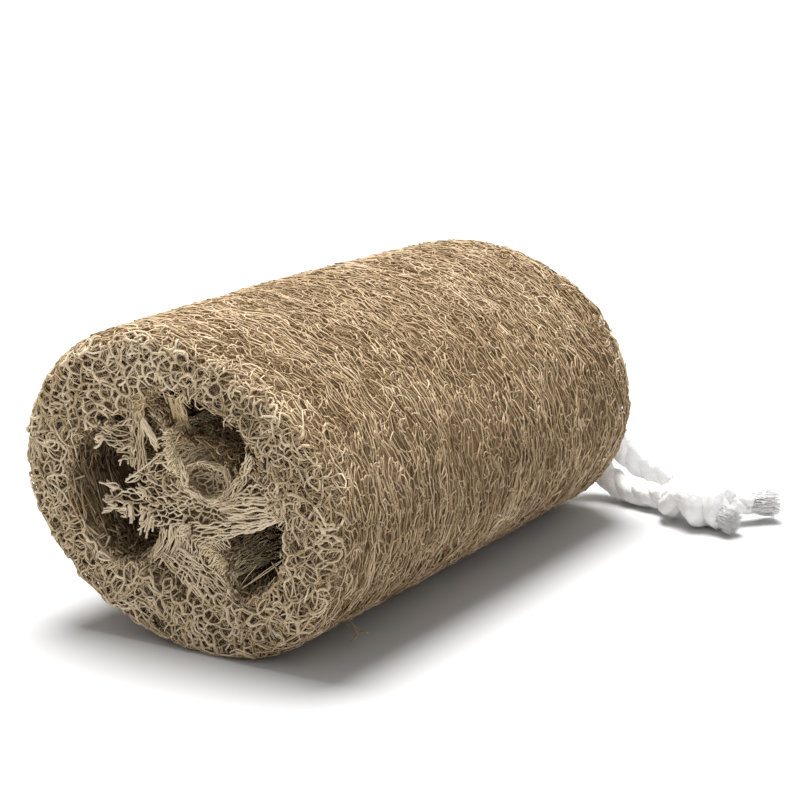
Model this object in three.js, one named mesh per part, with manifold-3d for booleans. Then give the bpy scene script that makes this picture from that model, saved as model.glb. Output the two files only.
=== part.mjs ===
// A natural loofah sponge on a cotton cord: a length of dried gourd skeleton, cut across at
// both ends, with three seed channels round a ragged core, and a twisted cotton cord that is
// threaded through the core at one end, knotted, and left lying on the surface.
// Millimetres. +Y runs along the gourd from the open cut end to the corded end, +Z is up, and
// the gourd lies on z = 0 with its own box centred on the origin.
import * as THREE from "three";
import { mergeVertices } from "three/addons/utils/BufferGeometryUtils.js";
import Module from "manifold-3d";

// The gourd
const LENGTH = 141;
const MEAN_RADIUS = 37.5;
const OVAL = 0.105; // share by which the wide way across is over the mean, and the narrow way under
const OVAL_TURN = THREE.MathUtils.degToRad(-21.8); // how far the wide way leans from level
const TAPER = -0.034; // change of girth from the middle to the corded end
const BULGE = -0.0165; // change of girth from the middle to both ends
const FLAT_DEPTH = 1.5; // how far the resting side is pressed flat

// The net of fibres, drawn larger than life as a honeycomb of ridges round pits
const NET_AROUND = 57; // a multiple of three, so that the honeycomb closes on itself
const NET_ROWS = 36;
const PIT_DEPTH = 2.7;
const PIT_SPREAD = 0.6;
const RIDGE_SPREAD = 0.22;
const NET_JITTER = 0.2; // share of a cell
const REST_BAND = 2.8; // height over the resting side below which the net is pressed smooth

// The cut ends: share of the girth, depth below the cut, and points in the ring
const CORE_RECESS = 6.5;
const CUT_END = [
  { share: 0.07, depth: CORE_RECESS, around: 9 },
  { share: 0.15, depth: CORE_RECESS, around: 18 },
  { share: 0.24, depth: CORE_RECESS * 0.95, around: 27 },
  { share: 0.34, depth: CORE_RECESS * 0.85, around: 39 },
  { share: 0.46, depth: CORE_RECESS * 0.6, around: 48 },
  { share: 0.58, depth: CORE_RECESS * 0.2, around: NET_AROUND },
  { share: 0.7, depth: 0, around: NET_AROUND },
  { share: 0.8, depth: 0, around: NET_AROUND },
  { share: 0.89, depth: 0.2, around: NET_AROUND },
  { share: 0.955, depth: 1.1, around: NET_AROUND },
  { share: 0.988, depth: 3.2, around: NET_AROUND },
];
const RIM = 6.2; // depth at which the full girth starts

// The seed channels: middle and half width of each as angles from +X towards +Z
const CAVITY_SHARE = 0.69; // of the girth, out to the wall's inner face
const CORE_RADIUS = 10.6;
const CHANNELS = [
  { middle: 68, half: 46 },
  { middle: 193, half: 45 },
  { middle: -27, half: 30 },
];
const CHANNEL_AROUND = 18;
const CHANNEL_ROWS = 22;
const CHANNEL_SQUARENESS = 0.62;
const CHANNEL_PIT = 1.5;
const PAST_THE_CUT = 4;

// The cord, as the control points of one smooth route: from the knot along the lower leg into a
// channel, round inside the core, out of the next channel and down the upper leg to the knot.
const CORD_RADIUS = 3.3;
const CORD_SIDES = 10;
const THREAD_CLEARANCE = 0.35;
const CORD_ROUTE = [
  [52, 73, 5.4],
  [39.5, 75.5, 3.1],
  [30.5, 77, 3.6],
  [22.5, 80, 8],
  [16, 77.5, 15.5],
  [12.5, 70, 20.5],
  [13, 59.5, 21.5],
  [14, 50, 25.5],
  [14.2, 46, 35],
  [14, 50, 44.5],
  [13.5, 60, 48.5],
  [13, 71.5, 42],
  [18, 75.5, 30],
  [28, 77, 19.5],
  [30, 84, 8.5],
  [39, 90, 4],
  [50.5, 88.5, 3.3],
  [57.5, 79, 4.6],
  [57, 72, 5.8],
];
const LOWER_MOUTH = 50; // distances along the route at which the cord enters and leaves the gourd
const UPPER_MOUTH = 111.5;
const CUT_GAP = 0.3;

// The knot that both legs end in, with its axis along its local X, and its two frayed tails
const KNOT = { x: 56.3, y: 71, z: 5.9, turn: 4 };
const KNOT_CORE = { long: 8.6, across: 4.4 };
const KNOT_WRAPS = [
  { along: -5, lean: 0.3, size: 2.7, thick: 2.7 },
  { along: 0, lean: 0.34, size: 3.3, thick: 2.8 },
  { along: 5, lean: 0.26, size: 2.9, thick: 2.8 },
];
const LONG_TAIL = { from: [61.5, 72.6, 5.6], to: [71.6, 83.6, 4.2], thin: 2.7, wide: 3.9 };
const SHORT_TAIL = { from: [61, 70, 5.6], to: [71, 66, 3.8], thin: 2.6, wide: 3.4 };
const TAIL_SIDES = 14;

const STRAW = new THREE.MeshStandardMaterial({ color: 0xb9a27c, roughness: 0.85, metalness: 0 });
const COTTON = new THREE.MeshStandardMaterial({ color: 0xf1efea, roughness: 0.95, metalness: 0 });

const wasm = await Module();
wasm.setup();

// Repeatable random numbers from 0 to 1 (mulberry32).
function randomFrom(seed) {
  let state = seed;
  return () => {
    state = (state + 0x6d2b79f5) | 0;
    let mixed = Math.imul(state ^ (state >>> 15), 1 | state);
    mixed = (mixed + Math.imul(mixed ^ (mixed >>> 7), 61 | mixed)) ^ mixed;
    return ((mixed ^ (mixed >>> 14)) >>> 0) / 4294967296;
  };
}

// A closed BufferGeometry as a solid.
function solidOf(geometry) {
  const bare = geometry.clone();
  bare.deleteAttribute("normal");
  bare.deleteAttribute("uv");
  const merged = mergeVertices(bare, 1e-4);
  return new wasm.Manifold(
    new wasm.Mesh({
      numProp: 3,
      vertProperties: merged.attributes.position.array,
      triVerts: new Uint32Array(merged.index.array),
    }),
  );
}

function geometryOf(solid) {
  const mesh = solid.getMesh();
  const indexed = new THREE.BufferGeometry();
  indexed.setAttribute("position", new THREE.BufferAttribute(mesh.vertProperties, 3));
  indexed.setIndex(new THREE.BufferAttribute(mesh.triVerts, 1));
  const flat = indexed.toNonIndexed();
  flat.computeVertexNormals();
  return flat;
}

// Every second ring of points is turned by half a step.
function stagger(row) {
  return (row % 2) / 2;
}

// A closed skin from a first point, through rings of points, to a last point. Rings run
// anticlockwise seen from -Y and follow each other towards +Y, and may differ in count.
function skin(first, rings, last) {
  const corners = [];
  const add = (a, b, c) => corners.push(...a.toArray(), ...b.toArray(), ...c.toArray());
  const at = (ring, i) => ring[i % ring.length];
  const turn = (row, i) => (i + stagger(row)) / rings[row].length;
  rings[0].forEach((point, i) => add(first, point, at(rings[0], i + 1)));
  for (let k = 0; k + 1 < rings.length; k++) {
    const [a, b] = [rings[k], rings[k + 1]];
    let [i, j] = [0, 0];
    while (i < a.length || j < b.length) {
      const stepA = j >= b.length || (i < a.length && turn(k, i + 1) <= turn(k + 1, j + 1));
      if (stepA) {
        add(at(a, i), at(b, j), at(a, i + 1));
        i += 1;
      } else {
        add(at(a, i), at(b, j), at(b, j + 1));
        j += 1;
      }
    }
  }
  const end = rings[rings.length - 1];
  end.forEach((point, i) => add(last, at(end, i + 1), point));
  const geometry = new THREE.BufferGeometry();
  geometry.setAttribute("position", new THREE.Float32BufferAttribute(corners, 3));
  return mergeVertices(geometry, 1e-4);
}

// The girth at a place along the gourd, as a share of the girth at its middle.
function girth(y) {
  const along = y / (LENGTH / 2);
  return 1 + TAPER * along + BULGE * along * along;
}

// Distance from the gourd's centreline to its surface, in the direction of an angle.
function reach(angle, y) {
  return MEAN_RADIUS * (1 + OVAL * Math.cos(2 * (angle - OVAL_TURN))) * girth(y);
}

// How far the surface reaches below the centreline, where the girth is 1.
const UNDERSIDE = Math.max(
  ...Array.from({ length: 720 }, (_, i) => -reach((i * Math.PI) / 360, 0) * Math.sin((i * Math.PI) / 360)),
);

// The centreline's height: the girth changes and the resting side stays level.
function centreHeight(y) {
  return UNDERSIDE * girth(y) - FLAT_DEPTH;
}

function place(angle, radius, y) {
  return new THREE.Vector3(radius * Math.cos(angle), y, radius * Math.sin(angle) + centreHeight(y));
}

// In a lattice whose rows are staggered, every third point is the middle of a honeycomb cell.
function isPit(column, row) {
  return (((column - Math.floor(row / 2) - row) % 3) + 3) % 3 === 0;
}

// One ring of the gourd's net. facing is 0 on the long side, and -1 or 1 on a cut end.
function netRing(row, around, share, y, facing, random) {
  return Array.from({ length: around }, (_, column) => {
    const turn = (column + stagger(row) + NET_JITTER * (random() - 0.5)) / around;
    const angle = turn * 2 * Math.PI;
    const sink = isPit(column, row)
      ? PIT_DEPTH + PIT_SPREAD * (2 * random() - 1)
      : RIDGE_SPREAD * random();
    const radius = share * reach(angle, y);
    const height = radius * Math.sin(angle) + centreHeight(y);
    const pressed = THREE.MathUtils.smoothstep(height, 0, REST_BAND);
    const alongside = facing === 0 ? NET_JITTER * (LENGTH / NET_ROWS) * (random() - 0.5) : 0;
    return place(
      angle,
      radius - (facing === 0 ? sink * pressed : 0),
      y + alongside - facing * sink * Math.max(pressed, 0.25),
    );
  });
}

// The whole gourd skeleton without its channels, from the core at one cut end to the other.
function gourdSkin() {
  const random = randomFrom(11);
  const rings = [];
  const end = LENGTH / 2;
  for (const ring of CUT_END)
    rings.push(netRing(rings.length, ring.around, ring.share, -end + ring.depth, -1, random));
  for (let i = 0; i <= NET_ROWS; i++) {
    const y = -end + RIM + ((LENGTH - 2 * RIM) * i) / NET_ROWS;
    rings.push(netRing(rings.length, NET_AROUND, 1, y, 0, random));
  }
  for (const ring of [...CUT_END].reverse())
    rings.push(netRing(rings.length, ring.around, ring.share, end - ring.depth, 1, random));
  const first = place(0, 0, -end + CORE_RECESS);
  const last = place(0, 0, end - CORE_RECESS);
  return skin(first, rings, last);
}

// One seed channel, as the solid that is cut away: a rounded sector with a netted wall.
function channelSkin({ middle, half }, seed) {
  const random = randomFrom(seed);
  const centre = THREE.MathUtils.degToRad(middle);
  const width = THREE.MathUtils.degToRad(half);
  const squared = (value) => Math.sign(value) * Math.abs(value) ** CHANNEL_SQUARENESS;
  const point = (t, y, grow) => {
    const across = -squared(Math.cos(t));
    const outward = squared(Math.sin(t));
    const angle = centre + width * across;
    const outer = CAVITY_SHARE * reach(angle, y) + grow;
    const inner = CORE_RADIUS * girth(y) - grow;
    const radius = (outer + inner) / 2 + ((outer - inner) / 2) * outward;
    return place(angle + (grow / radius) * across, radius, y);
  };
  const long = LENGTH / 2 + PAST_THE_CUT;
  const rings = Array.from({ length: CHANNEL_ROWS + 1 }, (_, row) => {
    const y = -long + (2 * long * row) / CHANNEL_ROWS;
    return Array.from({ length: CHANNEL_AROUND }, (_, column) => {
      const t = ((column + stagger(row)) / CHANNEL_AROUND) * 2 * Math.PI;
      const grow = isPit(column, row) ? CHANNEL_PIT * (0.7 + 0.5 * random()) : -0.4 * random();
      return point(t, y, grow);
    });
  });
  const middleOf = (ring) =>
    ring.reduce((sum, p) => sum.add(p), new THREE.Vector3()).divideScalar(ring.length);
  return skin(middleOf(rings[0]), rings, middleOf(rings[rings.length - 1]));
}

// A smooth curve beside control points (a uniform cubic B-spline), from the first to the last.
class SmoothRoute extends THREE.Curve {
  constructor(points) {
    super();
    const given = points.map((p) => new THREE.Vector3(...p));
    const before = given[0].clone().multiplyScalar(2).sub(given[1]);
    const after = given.at(-1).clone().multiplyScalar(2).sub(given.at(-2));
    this.points = [before, ...given, after];
    this.arcLengthDivisions = 2000;
  }

  getPoint(t, target = new THREE.Vector3()) {
    const spans = this.points.length - 3;
    const span = Math.min(Math.floor(t * spans), spans - 1);
    const w = t * spans - span;
    const weights = [
      (1 - w) ** 3,
      3 * w ** 3 - 6 * w ** 2 + 4,
      -3 * w ** 3 + 3 * w ** 2 + 3 * w + 1,
      w ** 3,
    ];
    target.set(0, 0, 0);
    weights.forEach((weight, i) => target.addScaledVector(this.points[span + i], weight / 6));
    return target;
  }
}

// Part of a longer route, between two distances along it.
class Stretch extends THREE.Curve {
  constructor(route, from, to) {
    super();
    Object.assign(this, { route, from, to });
  }

  getPoint(t, target = new THREE.Vector3()) {
    const along = this.from + (this.to - this.from) * t;
    return this.route.getPointAt(along / this.route.getLength(), target);
  }
}

// A round bar of some radius along a curve.
function tubeAlong(curve, radius, steps) {
  const outline = new THREE.Shape(
    Array.from({ length: CORD_SIDES }, (_, i) => {
      const turn = (i / CORD_SIDES) * 2 * Math.PI;
      return new THREE.Vector2(radius * Math.cos(turn), radius * Math.sin(turn));
    }),
  );
  return new THREE.ExtrudeGeometry(outline, { steps, bevelEnabled: false, extrudePath: curve });
}

// The gourd: its skin, less the three channels, the thread hole and what the resting side loses.
function loofahBody() {
  let body = solidOf(gourdSkin());
  CHANNELS.forEach((channel, i) => {
    body = body.subtract(solidOf(channelSkin(channel, 31 + i)));
  });
  const hole = new Stretch(cordRoute, LOWER_MOUTH - 6, UPPER_MOUTH + 6);
  body = body.subtract(solidOf(tubeAlong(hole, CORD_RADIUS + THREAD_CLEARANCE, 30)));
  const slab = new THREE.BoxGeometry(4 * MEAN_RADIUS, 2 * LENGTH, 10);
  slab.translate(0, 0, -5);
  return geometryOf(body.subtract(solidOf(slab)));
}

// The knot: turns of the cord drawn tight round each other, grown by a clearance.
function knotSolid(clearance) {
  const core = new THREE.SphereGeometry(1, 16, 12);
  const across = KNOT_CORE.across + clearance;
  core.scale(KNOT_CORE.long + clearance, across, across);
  let solid = solidOf(core);
  for (const { along, lean, size, thick } of KNOT_WRAPS) {
    const wrap = new THREE.TorusGeometry(size, thick + clearance, 10, 20);
    wrap.rotateY(Math.PI / 2 + lean);
    wrap.translate(along, 0, 0);
    solid = solid.add(solidOf(wrap));
  }
  return solid.rotate([0, 0, KNOT.turn]).translate([KNOT.x, KNOT.y, KNOT.z]);
}

// A short end of the cord that widens as its strands come apart.
function cordTail({ from, to, thin, wide }) {
  const start = new THREE.Vector3(...from);
  const run = new THREE.Vector3(...to).sub(start);
  const profile = [
    [0, 0],
    [thin, 0],
    [(thin + wide) / 2, run.length() * 0.6],
    [wide, run.length()],
    [0, run.length()],
  ];
  const tail = new THREE.LatheGeometry(
    profile.map(([x, y]) => new THREE.Vector2(x, y)),
    TAIL_SIDES,
  );
  const turned = new THREE.Quaternion().setFromUnitVectors(
    new THREE.Vector3(0, 1, 0),
    run.clone().normalize(),
  );
  tail.applyQuaternion(turned);
  tail.translate(...from);
  return tail;
}

// A length of cord without what is in the knot.
function besideKnot(geometry) {
  return geometryOf(solidOf(geometry).subtract(knotSolid(CUT_GAP)));
}

function named(name, geometry, material) {
  const mesh = new THREE.Mesh(geometry, material);
  mesh.name = name;
  return mesh;
}

const cordRoute = new SmoothRoute(CORD_ROUTE);
const cordEnd = cordRoute.getLength();
const loofah = new THREE.Group();
loofah.add(named("loofah_body", loofahBody(), STRAW));

const stretches = [
  { name: "cord_lower_leg", from: 0, to: LOWER_MOUTH - CUT_GAP / 2, steps: 16 },
  { name: "cord_in_core", from: LOWER_MOUTH + CUT_GAP / 2, to: UPPER_MOUTH - CUT_GAP / 2, steps: 20 },
  { name: "cord_upper_leg", from: UPPER_MOUTH + CUT_GAP / 2, to: cordEnd, steps: 22 },
];
for (const { name, from, to, steps } of stretches) {
  const tube = tubeAlong(new Stretch(cordRoute, from, to), CORD_RADIUS, steps);
  loofah.add(named(name, besideKnot(tube), COTTON));
}
loofah.add(named("cord_knot", geometryOf(knotSolid(0)), COTTON));
loofah.add(named("cord_long_tail", besideKnot(cordTail(LONG_TAIL)), COTTON));
loofah.add(named("cord_short_tail", besideKnot(cordTail(SHORT_TAIL)), COTTON));

export default loofah;
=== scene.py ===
"""A natural loofah sponge on a cotton cord: its finish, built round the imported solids."""

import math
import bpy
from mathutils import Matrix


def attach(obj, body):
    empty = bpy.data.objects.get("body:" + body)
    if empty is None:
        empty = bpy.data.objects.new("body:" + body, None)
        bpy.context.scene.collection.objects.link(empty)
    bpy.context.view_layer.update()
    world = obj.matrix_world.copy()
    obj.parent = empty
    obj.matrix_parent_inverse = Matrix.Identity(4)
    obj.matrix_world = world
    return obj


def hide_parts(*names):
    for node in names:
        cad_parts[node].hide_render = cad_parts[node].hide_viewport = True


bl_info = {
    "name": "Loofah Sponge",
    "version": (1, 0, 0),
    "blender": (4, 5, 0),
    "location": "3D View > Sidebar > Loofah",
    "description": "Builds a natural loofah sponge from nets of fibres, with its twisted cotton cord",
    "category": "Object",
}

import bpy
import numpy as np
from bpy.props import FloatProperty, FloatVectorProperty, IntProperty, PointerProperty
from mathutils import Vector, geometry

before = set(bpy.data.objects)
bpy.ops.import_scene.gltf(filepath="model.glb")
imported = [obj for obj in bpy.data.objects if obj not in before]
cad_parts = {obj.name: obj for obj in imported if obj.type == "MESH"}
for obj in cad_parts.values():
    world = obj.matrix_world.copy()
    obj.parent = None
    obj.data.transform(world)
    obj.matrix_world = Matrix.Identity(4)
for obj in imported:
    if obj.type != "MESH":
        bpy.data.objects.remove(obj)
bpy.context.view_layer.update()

MM = 0.001

# The gourd's shape, after the part's source, with lengths in millimetres
LENGTH = 141.0
HALF = LENGTH / 2
MEAN_RADIUS = 37.5
AROUND = 2 * math.pi * MEAN_RADIUS
OVAL = 0.105
OVAL_TURN = math.radians(-21.8)
TAPER = -0.034
BULGE = -0.0165
FLAT_DEPTH = 1.5
RIM = 6.2
RIM_ROUND = 0.11
RIM_ARC = 8.2
CORE_RADIUS = 10.6
CAVITY_SHARE = 0.69
CHANNEL_SQUARENESS = 0.62
# For each seed channel: the angle of its middle and half its width, in degrees
CHANNELS = ((68, 46), (193, 45), (-27, 30))
# The core's recess in a cut end: shares of the reach, and the depth at each
RECESS_SHARES = (0.15, 0.34, 0.46, 0.58, 0.7)
RECESS_DEPTHS = (6.5, 5.6, 3.9, 1.3, 0)
# Where the soft nets stand out beyond the solid, for each end: how far, in millimetres, the middle and
# the width of the place, in degrees, and its length along the gourd, in millimetres
SWELLS = ((-1, 1.4, 178, 48, 26), (1, 1.5, 42, 40, 24))

# The cord's route, in millimetres, as in the part's source
CORD_ROUTE = (
    (52, 73, 5.4),
    (39.5, 75.5, 3.1),
    (30.5, 77, 3.6),
    (22.5, 80, 8),
    (16, 77.5, 15.5),
    (12.5, 70, 20.5),
    (13, 59.5, 21.5),
    (14, 50, 25.5),
    (14.2, 46, 35),
    (14, 50, 44.5),
    (13.5, 60, 48.5),
    (13, 71.5, 42),
    (18, 75.5, 30),
    (28, 77, 19.5),
    (30, 84, 8.5),
    (39, 90, 4),
    (50.5, 88.5, 3.3),
    (57.5, 79, 4.6),
    (57, 72, 5.8),
)
# How far along the route the cord goes into the sponge and comes out again
LOWER_MOUTH = 50.0
UPPER_MOUTH = 111.5
KNOT = np.array((56.3, 71.0, 5.9))
KNOT_TURN = math.radians(4)
KNOT_HALF_LENGTH = 7.5
# For each wrap of the knot: its place along it, its lean in radians, its radius and the cord's thickness
KNOT_WRAPS = ((-5.8, 0.5, 2.5, 6.6), (0.6, -0.45, 3.5, 7.4), (6.0, -0.35, 3.2, 7.2))
LONG_TAIL = ((61.5, 72.6, 5.6), (71.6, 83.6, 4.2))
SHORT_TAIL = ((60, 69, 5.4), (68.5, 65.5, 3.8))

# The least gap between a fibre and the surface that the sponge rests on, in millimetres
ABOVE_FLOOR = 0.02

# Loose curls that hang off the lower edge near the cut end, in millimetres
STRAY_CURLS = (
    ((25, -45, 4.5), (28, -46, 3.4), (31, -47, 3.6), (32.5, -48.5, 2.4), (31.5, -50, 1.6)),
    ((26, -44, 4.6), (29, -44.5, 3.0), (31.5, -46, 2.4), (33.5, -46.5, 3.0)),
)

# The camera's place and direction, in metres, as fitted to the photograph's outline
CAMERA_PLACE = (0.34182, -0.53298, 0.21223)
CAMERA_DIRECTION = (-0.50652, 0.82130, -0.26251)
FLOOR_GREY = (0.62, 0.62, 0.62, 1)
WHITE = (1, 1, 1, 1)

# The height of a row of a hexagonal lattice whose cells are one wide
ROW = 0.866


# The shape of the gourd


def girth(y):
    """The gourd's girth at a place along it, as a share of the girth at its middle."""
    along = y / HALF
    return 1 + TAPER * along + BULGE * along**2


def hump(angle, middle, width):
    """A smooth bump round the gourd, 1 at its middle; middle and width are in degrees."""
    away = (angle - math.radians(middle) + math.pi) % (2 * math.pi) - math.pi
    return np.exp(-((away / math.radians(width)) ** 2))


def swell(angle, y):
    """How far the soft nets stand out beyond the solid near the two ends, in millimetres."""
    total = 0
    for side, out, middle, width, length in SWELLS:
        total = total + out * hump(angle, middle, width) * np.exp(-(((y - side * HALF) / length) ** 2))
    return total


def reach(angle, y):
    """The distance from the gourd's centreline to its side, in millimetres."""
    return MEAN_RADIUS * (1 + OVAL * np.cos(2 * (angle - OVAL_TURN))) * girth(y) + swell(angle, y)


def underside():
    """How far the middle of the gourd reaches below its centreline."""
    turn = np.linspace(0, 2 * math.pi, 721)
    return float(np.max(-reach(turn, np.zeros_like(turn)) * np.sin(turn)))


UNDERSIDE = underside()


def centre_height(y):
    """The height of the gourd's centreline over the surface that it rests on."""
    return UNDERSIDE * girth(y) - FLAT_DEPTH


def place(angle, radius, y):
    """The point at an angle and a distance from the gourd's centreline."""
    return np.stack([radius * np.cos(angle), y, radius * np.sin(angle) + centre_height(y)], -1)


def rim_share(y):
    """The share of the full reach that is left near the rounded rims."""
    into = np.clip((np.abs(y) - (HALF - RIM)) / RIM, 0, 1)
    return 1 - RIM_ROUND * (1 - np.sqrt(1 - into**2))


def end_depth(share):
    """How far a cut end lies below the cut, at a share of the reach."""
    up = np.clip((share - (1 - RIM_ROUND)) / RIM_ROUND, 0, 0.9999)
    return np.interp(share, RECESS_SHARES, RECESS_DEPTHS) + RIM * (1 - np.sqrt(1 - up**2))


def channel_field(angle, radius, y):
    """Under 1 inside a seed channel, and larger outside it."""
    best = np.full(np.shape(angle), 9.0)
    for middle, half in CHANNELS:
        turn = (angle - math.radians(middle) + math.pi) % (2 * math.pi) - math.pi
        outer = CAVITY_SHARE * reach(angle, y)
        inner = CORE_RADIUS * girth(y)
        out = (radius - (outer + inner) / 2) / ((outer - inner) / 2)
        power = 2 / CHANNEL_SQUARENESS
        field = np.abs(turn / math.radians(half)) ** power + np.abs(out) ** power
        best = np.minimum(best, field)
    return best


def channel_wall(number, t, y, grow):
    """The angle and the distance of a point of a seed channel's wall, t round it, set back by grow."""
    middle, half = (math.radians(value) for value in CHANNELS[number])
    across = -np.sign(np.cos(t)) * np.abs(np.cos(t)) ** CHANNEL_SQUARENESS
    outward = np.sign(np.sin(t)) * np.abs(np.sin(t)) ** CHANNEL_SQUARENESS
    angle = middle + half * across
    outer = CAVITY_SHARE * reach(angle, y) + grow
    inner = CORE_RADIUS * girth(y) - grow
    radius = (outer + inner) / 2 + (outer - inner) / 2 * outward
    return angle + grow / radius * across, radius


def channel_point(number, side, t, into, grow):
    """A point of a seed channel's wall, into it from the channel's mouth in a cut end."""
    mouth_angle, mouth_radius = channel_wall(number, t, side * HALF, grow)
    mouth = end_depth(mouth_radius / reach(mouth_angle, side * HALF))
    y = side * (HALF - mouth - into)
    angle, radius = channel_wall(number, t, y, grow)
    return place(angle, radius, y)


# Fibres


class Fibres:
    """A bundle of fibres: points end to end, with the number of points in each fibre."""

    def __init__(self):
        self.points, self.radii, self.tones, self.counts = [], [], [], []

    def add(self, points, counts, radii, tones):
        """points (n, 3), counts per fibre, radii per point, tones per fibre."""
        counts = np.asarray(counts, int)
        self.points.append(np.asarray(points, float))
        self.counts.append(counts)
        self.radii.append(np.broadcast_to(radii, (len(points),)).astype(float))
        self.tones.append(np.repeat(np.broadcast_to(tones, (len(counts),)), counts))

    def add_rows(self, paths, radii, tones):
        """Fibres of equal length: paths (fibres, points, 3), with a radius and a tone for each fibre."""
        number, steps = paths.shape[:2]
        thick = np.repeat(np.broadcast_to(radii, (number,)), steps)
        self.add(paths.reshape(-1, 3), np.full(number, steps), thick, tones)

    def arrays(self):
        return [np.concatenate(part) for part in (self.points, self.radii, self.tones, self.counts)]


def radii_about(radius, spread, number, rng):
    """Radii about a middle one, each larger or smaller by a share of about the spread."""
    return radius * np.exp(rng.normal(0, spread, number))


def tones_about(tone, spread, number, rng):
    """Tones about a middle one, between the darkest, 0, and the palest, 1."""
    return np.clip(rng.normal(tone, spread, number), 0, 1)


def ends_of(counts):
    """For each point: whether it starts a fibre and whether it ends one."""
    last = np.cumsum(counts) - 1
    first = last - counts + 1
    starts = np.zeros(int(np.sum(counts)), bool)
    stops = starts.copy()
    starts[first] = True
    stops[last] = True
    return starts, stops


def refined(points, counts, radii, curl, rng):
    """The same fibres with a point between each two, on a smooth curve, moved at random by curl."""
    starts, stops = ends_of(counts)
    index = np.arange(len(points))
    before = np.where(starts, index, index - 1)
    after = np.where(stops, index, index + 1)
    inner = index[~stops]
    a, b = points[inner], points[inner + 1]
    middle = (9 * a + 9 * b - points[before[inner]] - points[after[inner + 1]]) / 16
    span = np.linalg.norm(b - a, axis=1, keepdims=True)
    middle = middle + rng.normal(0, 1, middle.shape) * span * curl
    fibre = np.repeat(np.arange(len(counts)), counts)
    spot = 2 * index - fibre
    total = int(2 * len(points) - len(counts))
    new_points = np.empty((total, 3))
    new_radii = np.empty(total)
    new_points[spot] = points
    new_radii[spot] = radii
    new_points[spot[inner] + 1] = middle
    new_radii[spot[inner] + 1] = (radii[inner] + radii[inner + 1]) / 2
    return new_points, np.asarray(counts) * 2 - 1, new_radii


def frames(points, counts, rng):
    """For each point two directions across the fibre, carried along without twist."""
    starts, stops = ends_of(counts)
    index = np.arange(len(points))
    ahead = points[np.where(stops, index, index + 1)] - points[np.where(starts, index, index - 1)]
    along = ahead / np.maximum(np.linalg.norm(ahead, axis=1, keepdims=True), 1e-9)
    across = np.zeros_like(along)
    first = np.flatnonzero(starts)
    guess = rng.normal(0, 1, (len(first), 3))
    for step in range(int(np.max(counts))):
        live = np.asarray(counts) > step
        here = first[live] + step
        lean = guess[live] if step == 0 else across[here - 1]
        side = lean - np.sum(lean * along[here], 1, keepdims=True) * along[here]
        across[here] = side / np.maximum(np.linalg.norm(side, axis=1, keepdims=True), 1e-9)
    return across, np.cross(along, across)


def new_mesh(name, corners, quads, tris, tone=None):
    """A mesh object from arrays in metres, smooth shaded, with a tone for each point."""
    mesh = bpy.data.meshes.new(name)
    mesh.vertices.add(len(corners))
    mesh.vertices.foreach_set("co", np.ascontiguousarray(corners, np.float32).ravel())
    loops = np.concatenate([np.asarray(quads).ravel(), np.asarray(tris).ravel()]).astype(np.int32)
    mesh.loops.add(len(loops))
    mesh.loops.foreach_set("vertex_index", loops)
    starts = np.concatenate(
        [np.arange(len(quads)) * 4, len(quads) * 4 + np.arange(len(tris)) * 3]
    ).astype(np.int32)
    mesh.polygons.add(len(starts))
    mesh.polygons.foreach_set("loop_start", starts)
    mesh.update(calc_edges=True)
    mesh.validate()
    mesh.polygons.foreach_set("use_smooth", np.ones(len(mesh.polygons), bool))
    if tone is not None:
        layer = mesh.attributes.new("tone", "FLOAT", "POINT")
        layer.data.foreach_set("value", np.asarray(tone, np.float32))
    piece = bpy.data.objects.new(name, mesh)
    bpy.context.collection.objects.link(piece)
    return piece


def tube_arrays(points, counts, radii, tones, sides, rng):
    """Closed tubes round the fibres: corners, quads and triangles of the end caps."""
    across, over = frames(points, counts, rng)
    turn = np.arange(sides) / sides * 2 * math.pi
    ring = across[:, None] * np.cos(turn)[None, :, None] + over[:, None] * np.sin(turn)[None, :, None]
    corners = (points[:, None] + ring * radii[:, None, None]).reshape(-1, 3)
    starts, stops = ends_of(counts)
    here = np.flatnonzero(~stops)[:, None] * sides
    k = np.arange(sides)[None]
    next_k = (k + 1) % sides
    quads = np.stack([here + k, here + next_k, here + sides + next_k, here + sides + k], -1)
    fan = np.stack([np.zeros(sides - 2), np.arange(1, sides - 1), np.arange(2, sides)], -1).astype(int)
    first = np.flatnonzero(starts)[:, None, None] * sides + fan[None, :, ::-1]
    last = np.flatnonzero(stops)[:, None, None] * sides + fan[None]
    caps = np.concatenate([first.reshape(-1, 3), last.reshape(-1, 3)])
    return corners, quads.reshape(-1, 4), caps, np.repeat(tones, sides)


def fibre_piece(name, bundles, rng, material):
    """One mesh of closed tubes from bundles of fibres, each with its number of sides."""
    corners, quads, caps, tones = [], [], [], []
    used = 0
    for fibres, sides in bundles:
        points, radii, tone, counts = fibres.arrays()
        points[:, 2] = np.maximum(points[:, 2], radii + ABOVE_FLOOR)
        parts = tube_arrays(points, counts, radii, tone, sides, rng)
        corners.append(parts[0])
        quads.append(parts[1] + used)
        caps.append(parts[2] + used)
        tones.append(parts[3])
        used += len(parts[0])
    quads, caps = np.concatenate(quads), np.concatenate(caps)
    piece = new_mesh(name, np.concatenate(corners) * MM, quads, caps, np.concatenate(tones))
    piece.data.materials.append(material)
    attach(piece, "root")
    return piece


# Nets


def lattice(columns, rows, jitter, rng):
    """Points of a hexagonal lattice with unit cells, moved at random."""
    row, column = np.mgrid[0:rows, 0:columns]
    points = np.stack([column + (row % 2) / 2, row * ROW], -1).reshape(-1, 2)
    return points + rng.uniform(-jitter, jitter, points.shape)


def scattered(width, height, jitter, rng):
    """Scattered points about one apart that fill a width and a height."""
    return lattice(int(width) + 1, int(height / ROW) + 1, jitter, rng)


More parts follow.
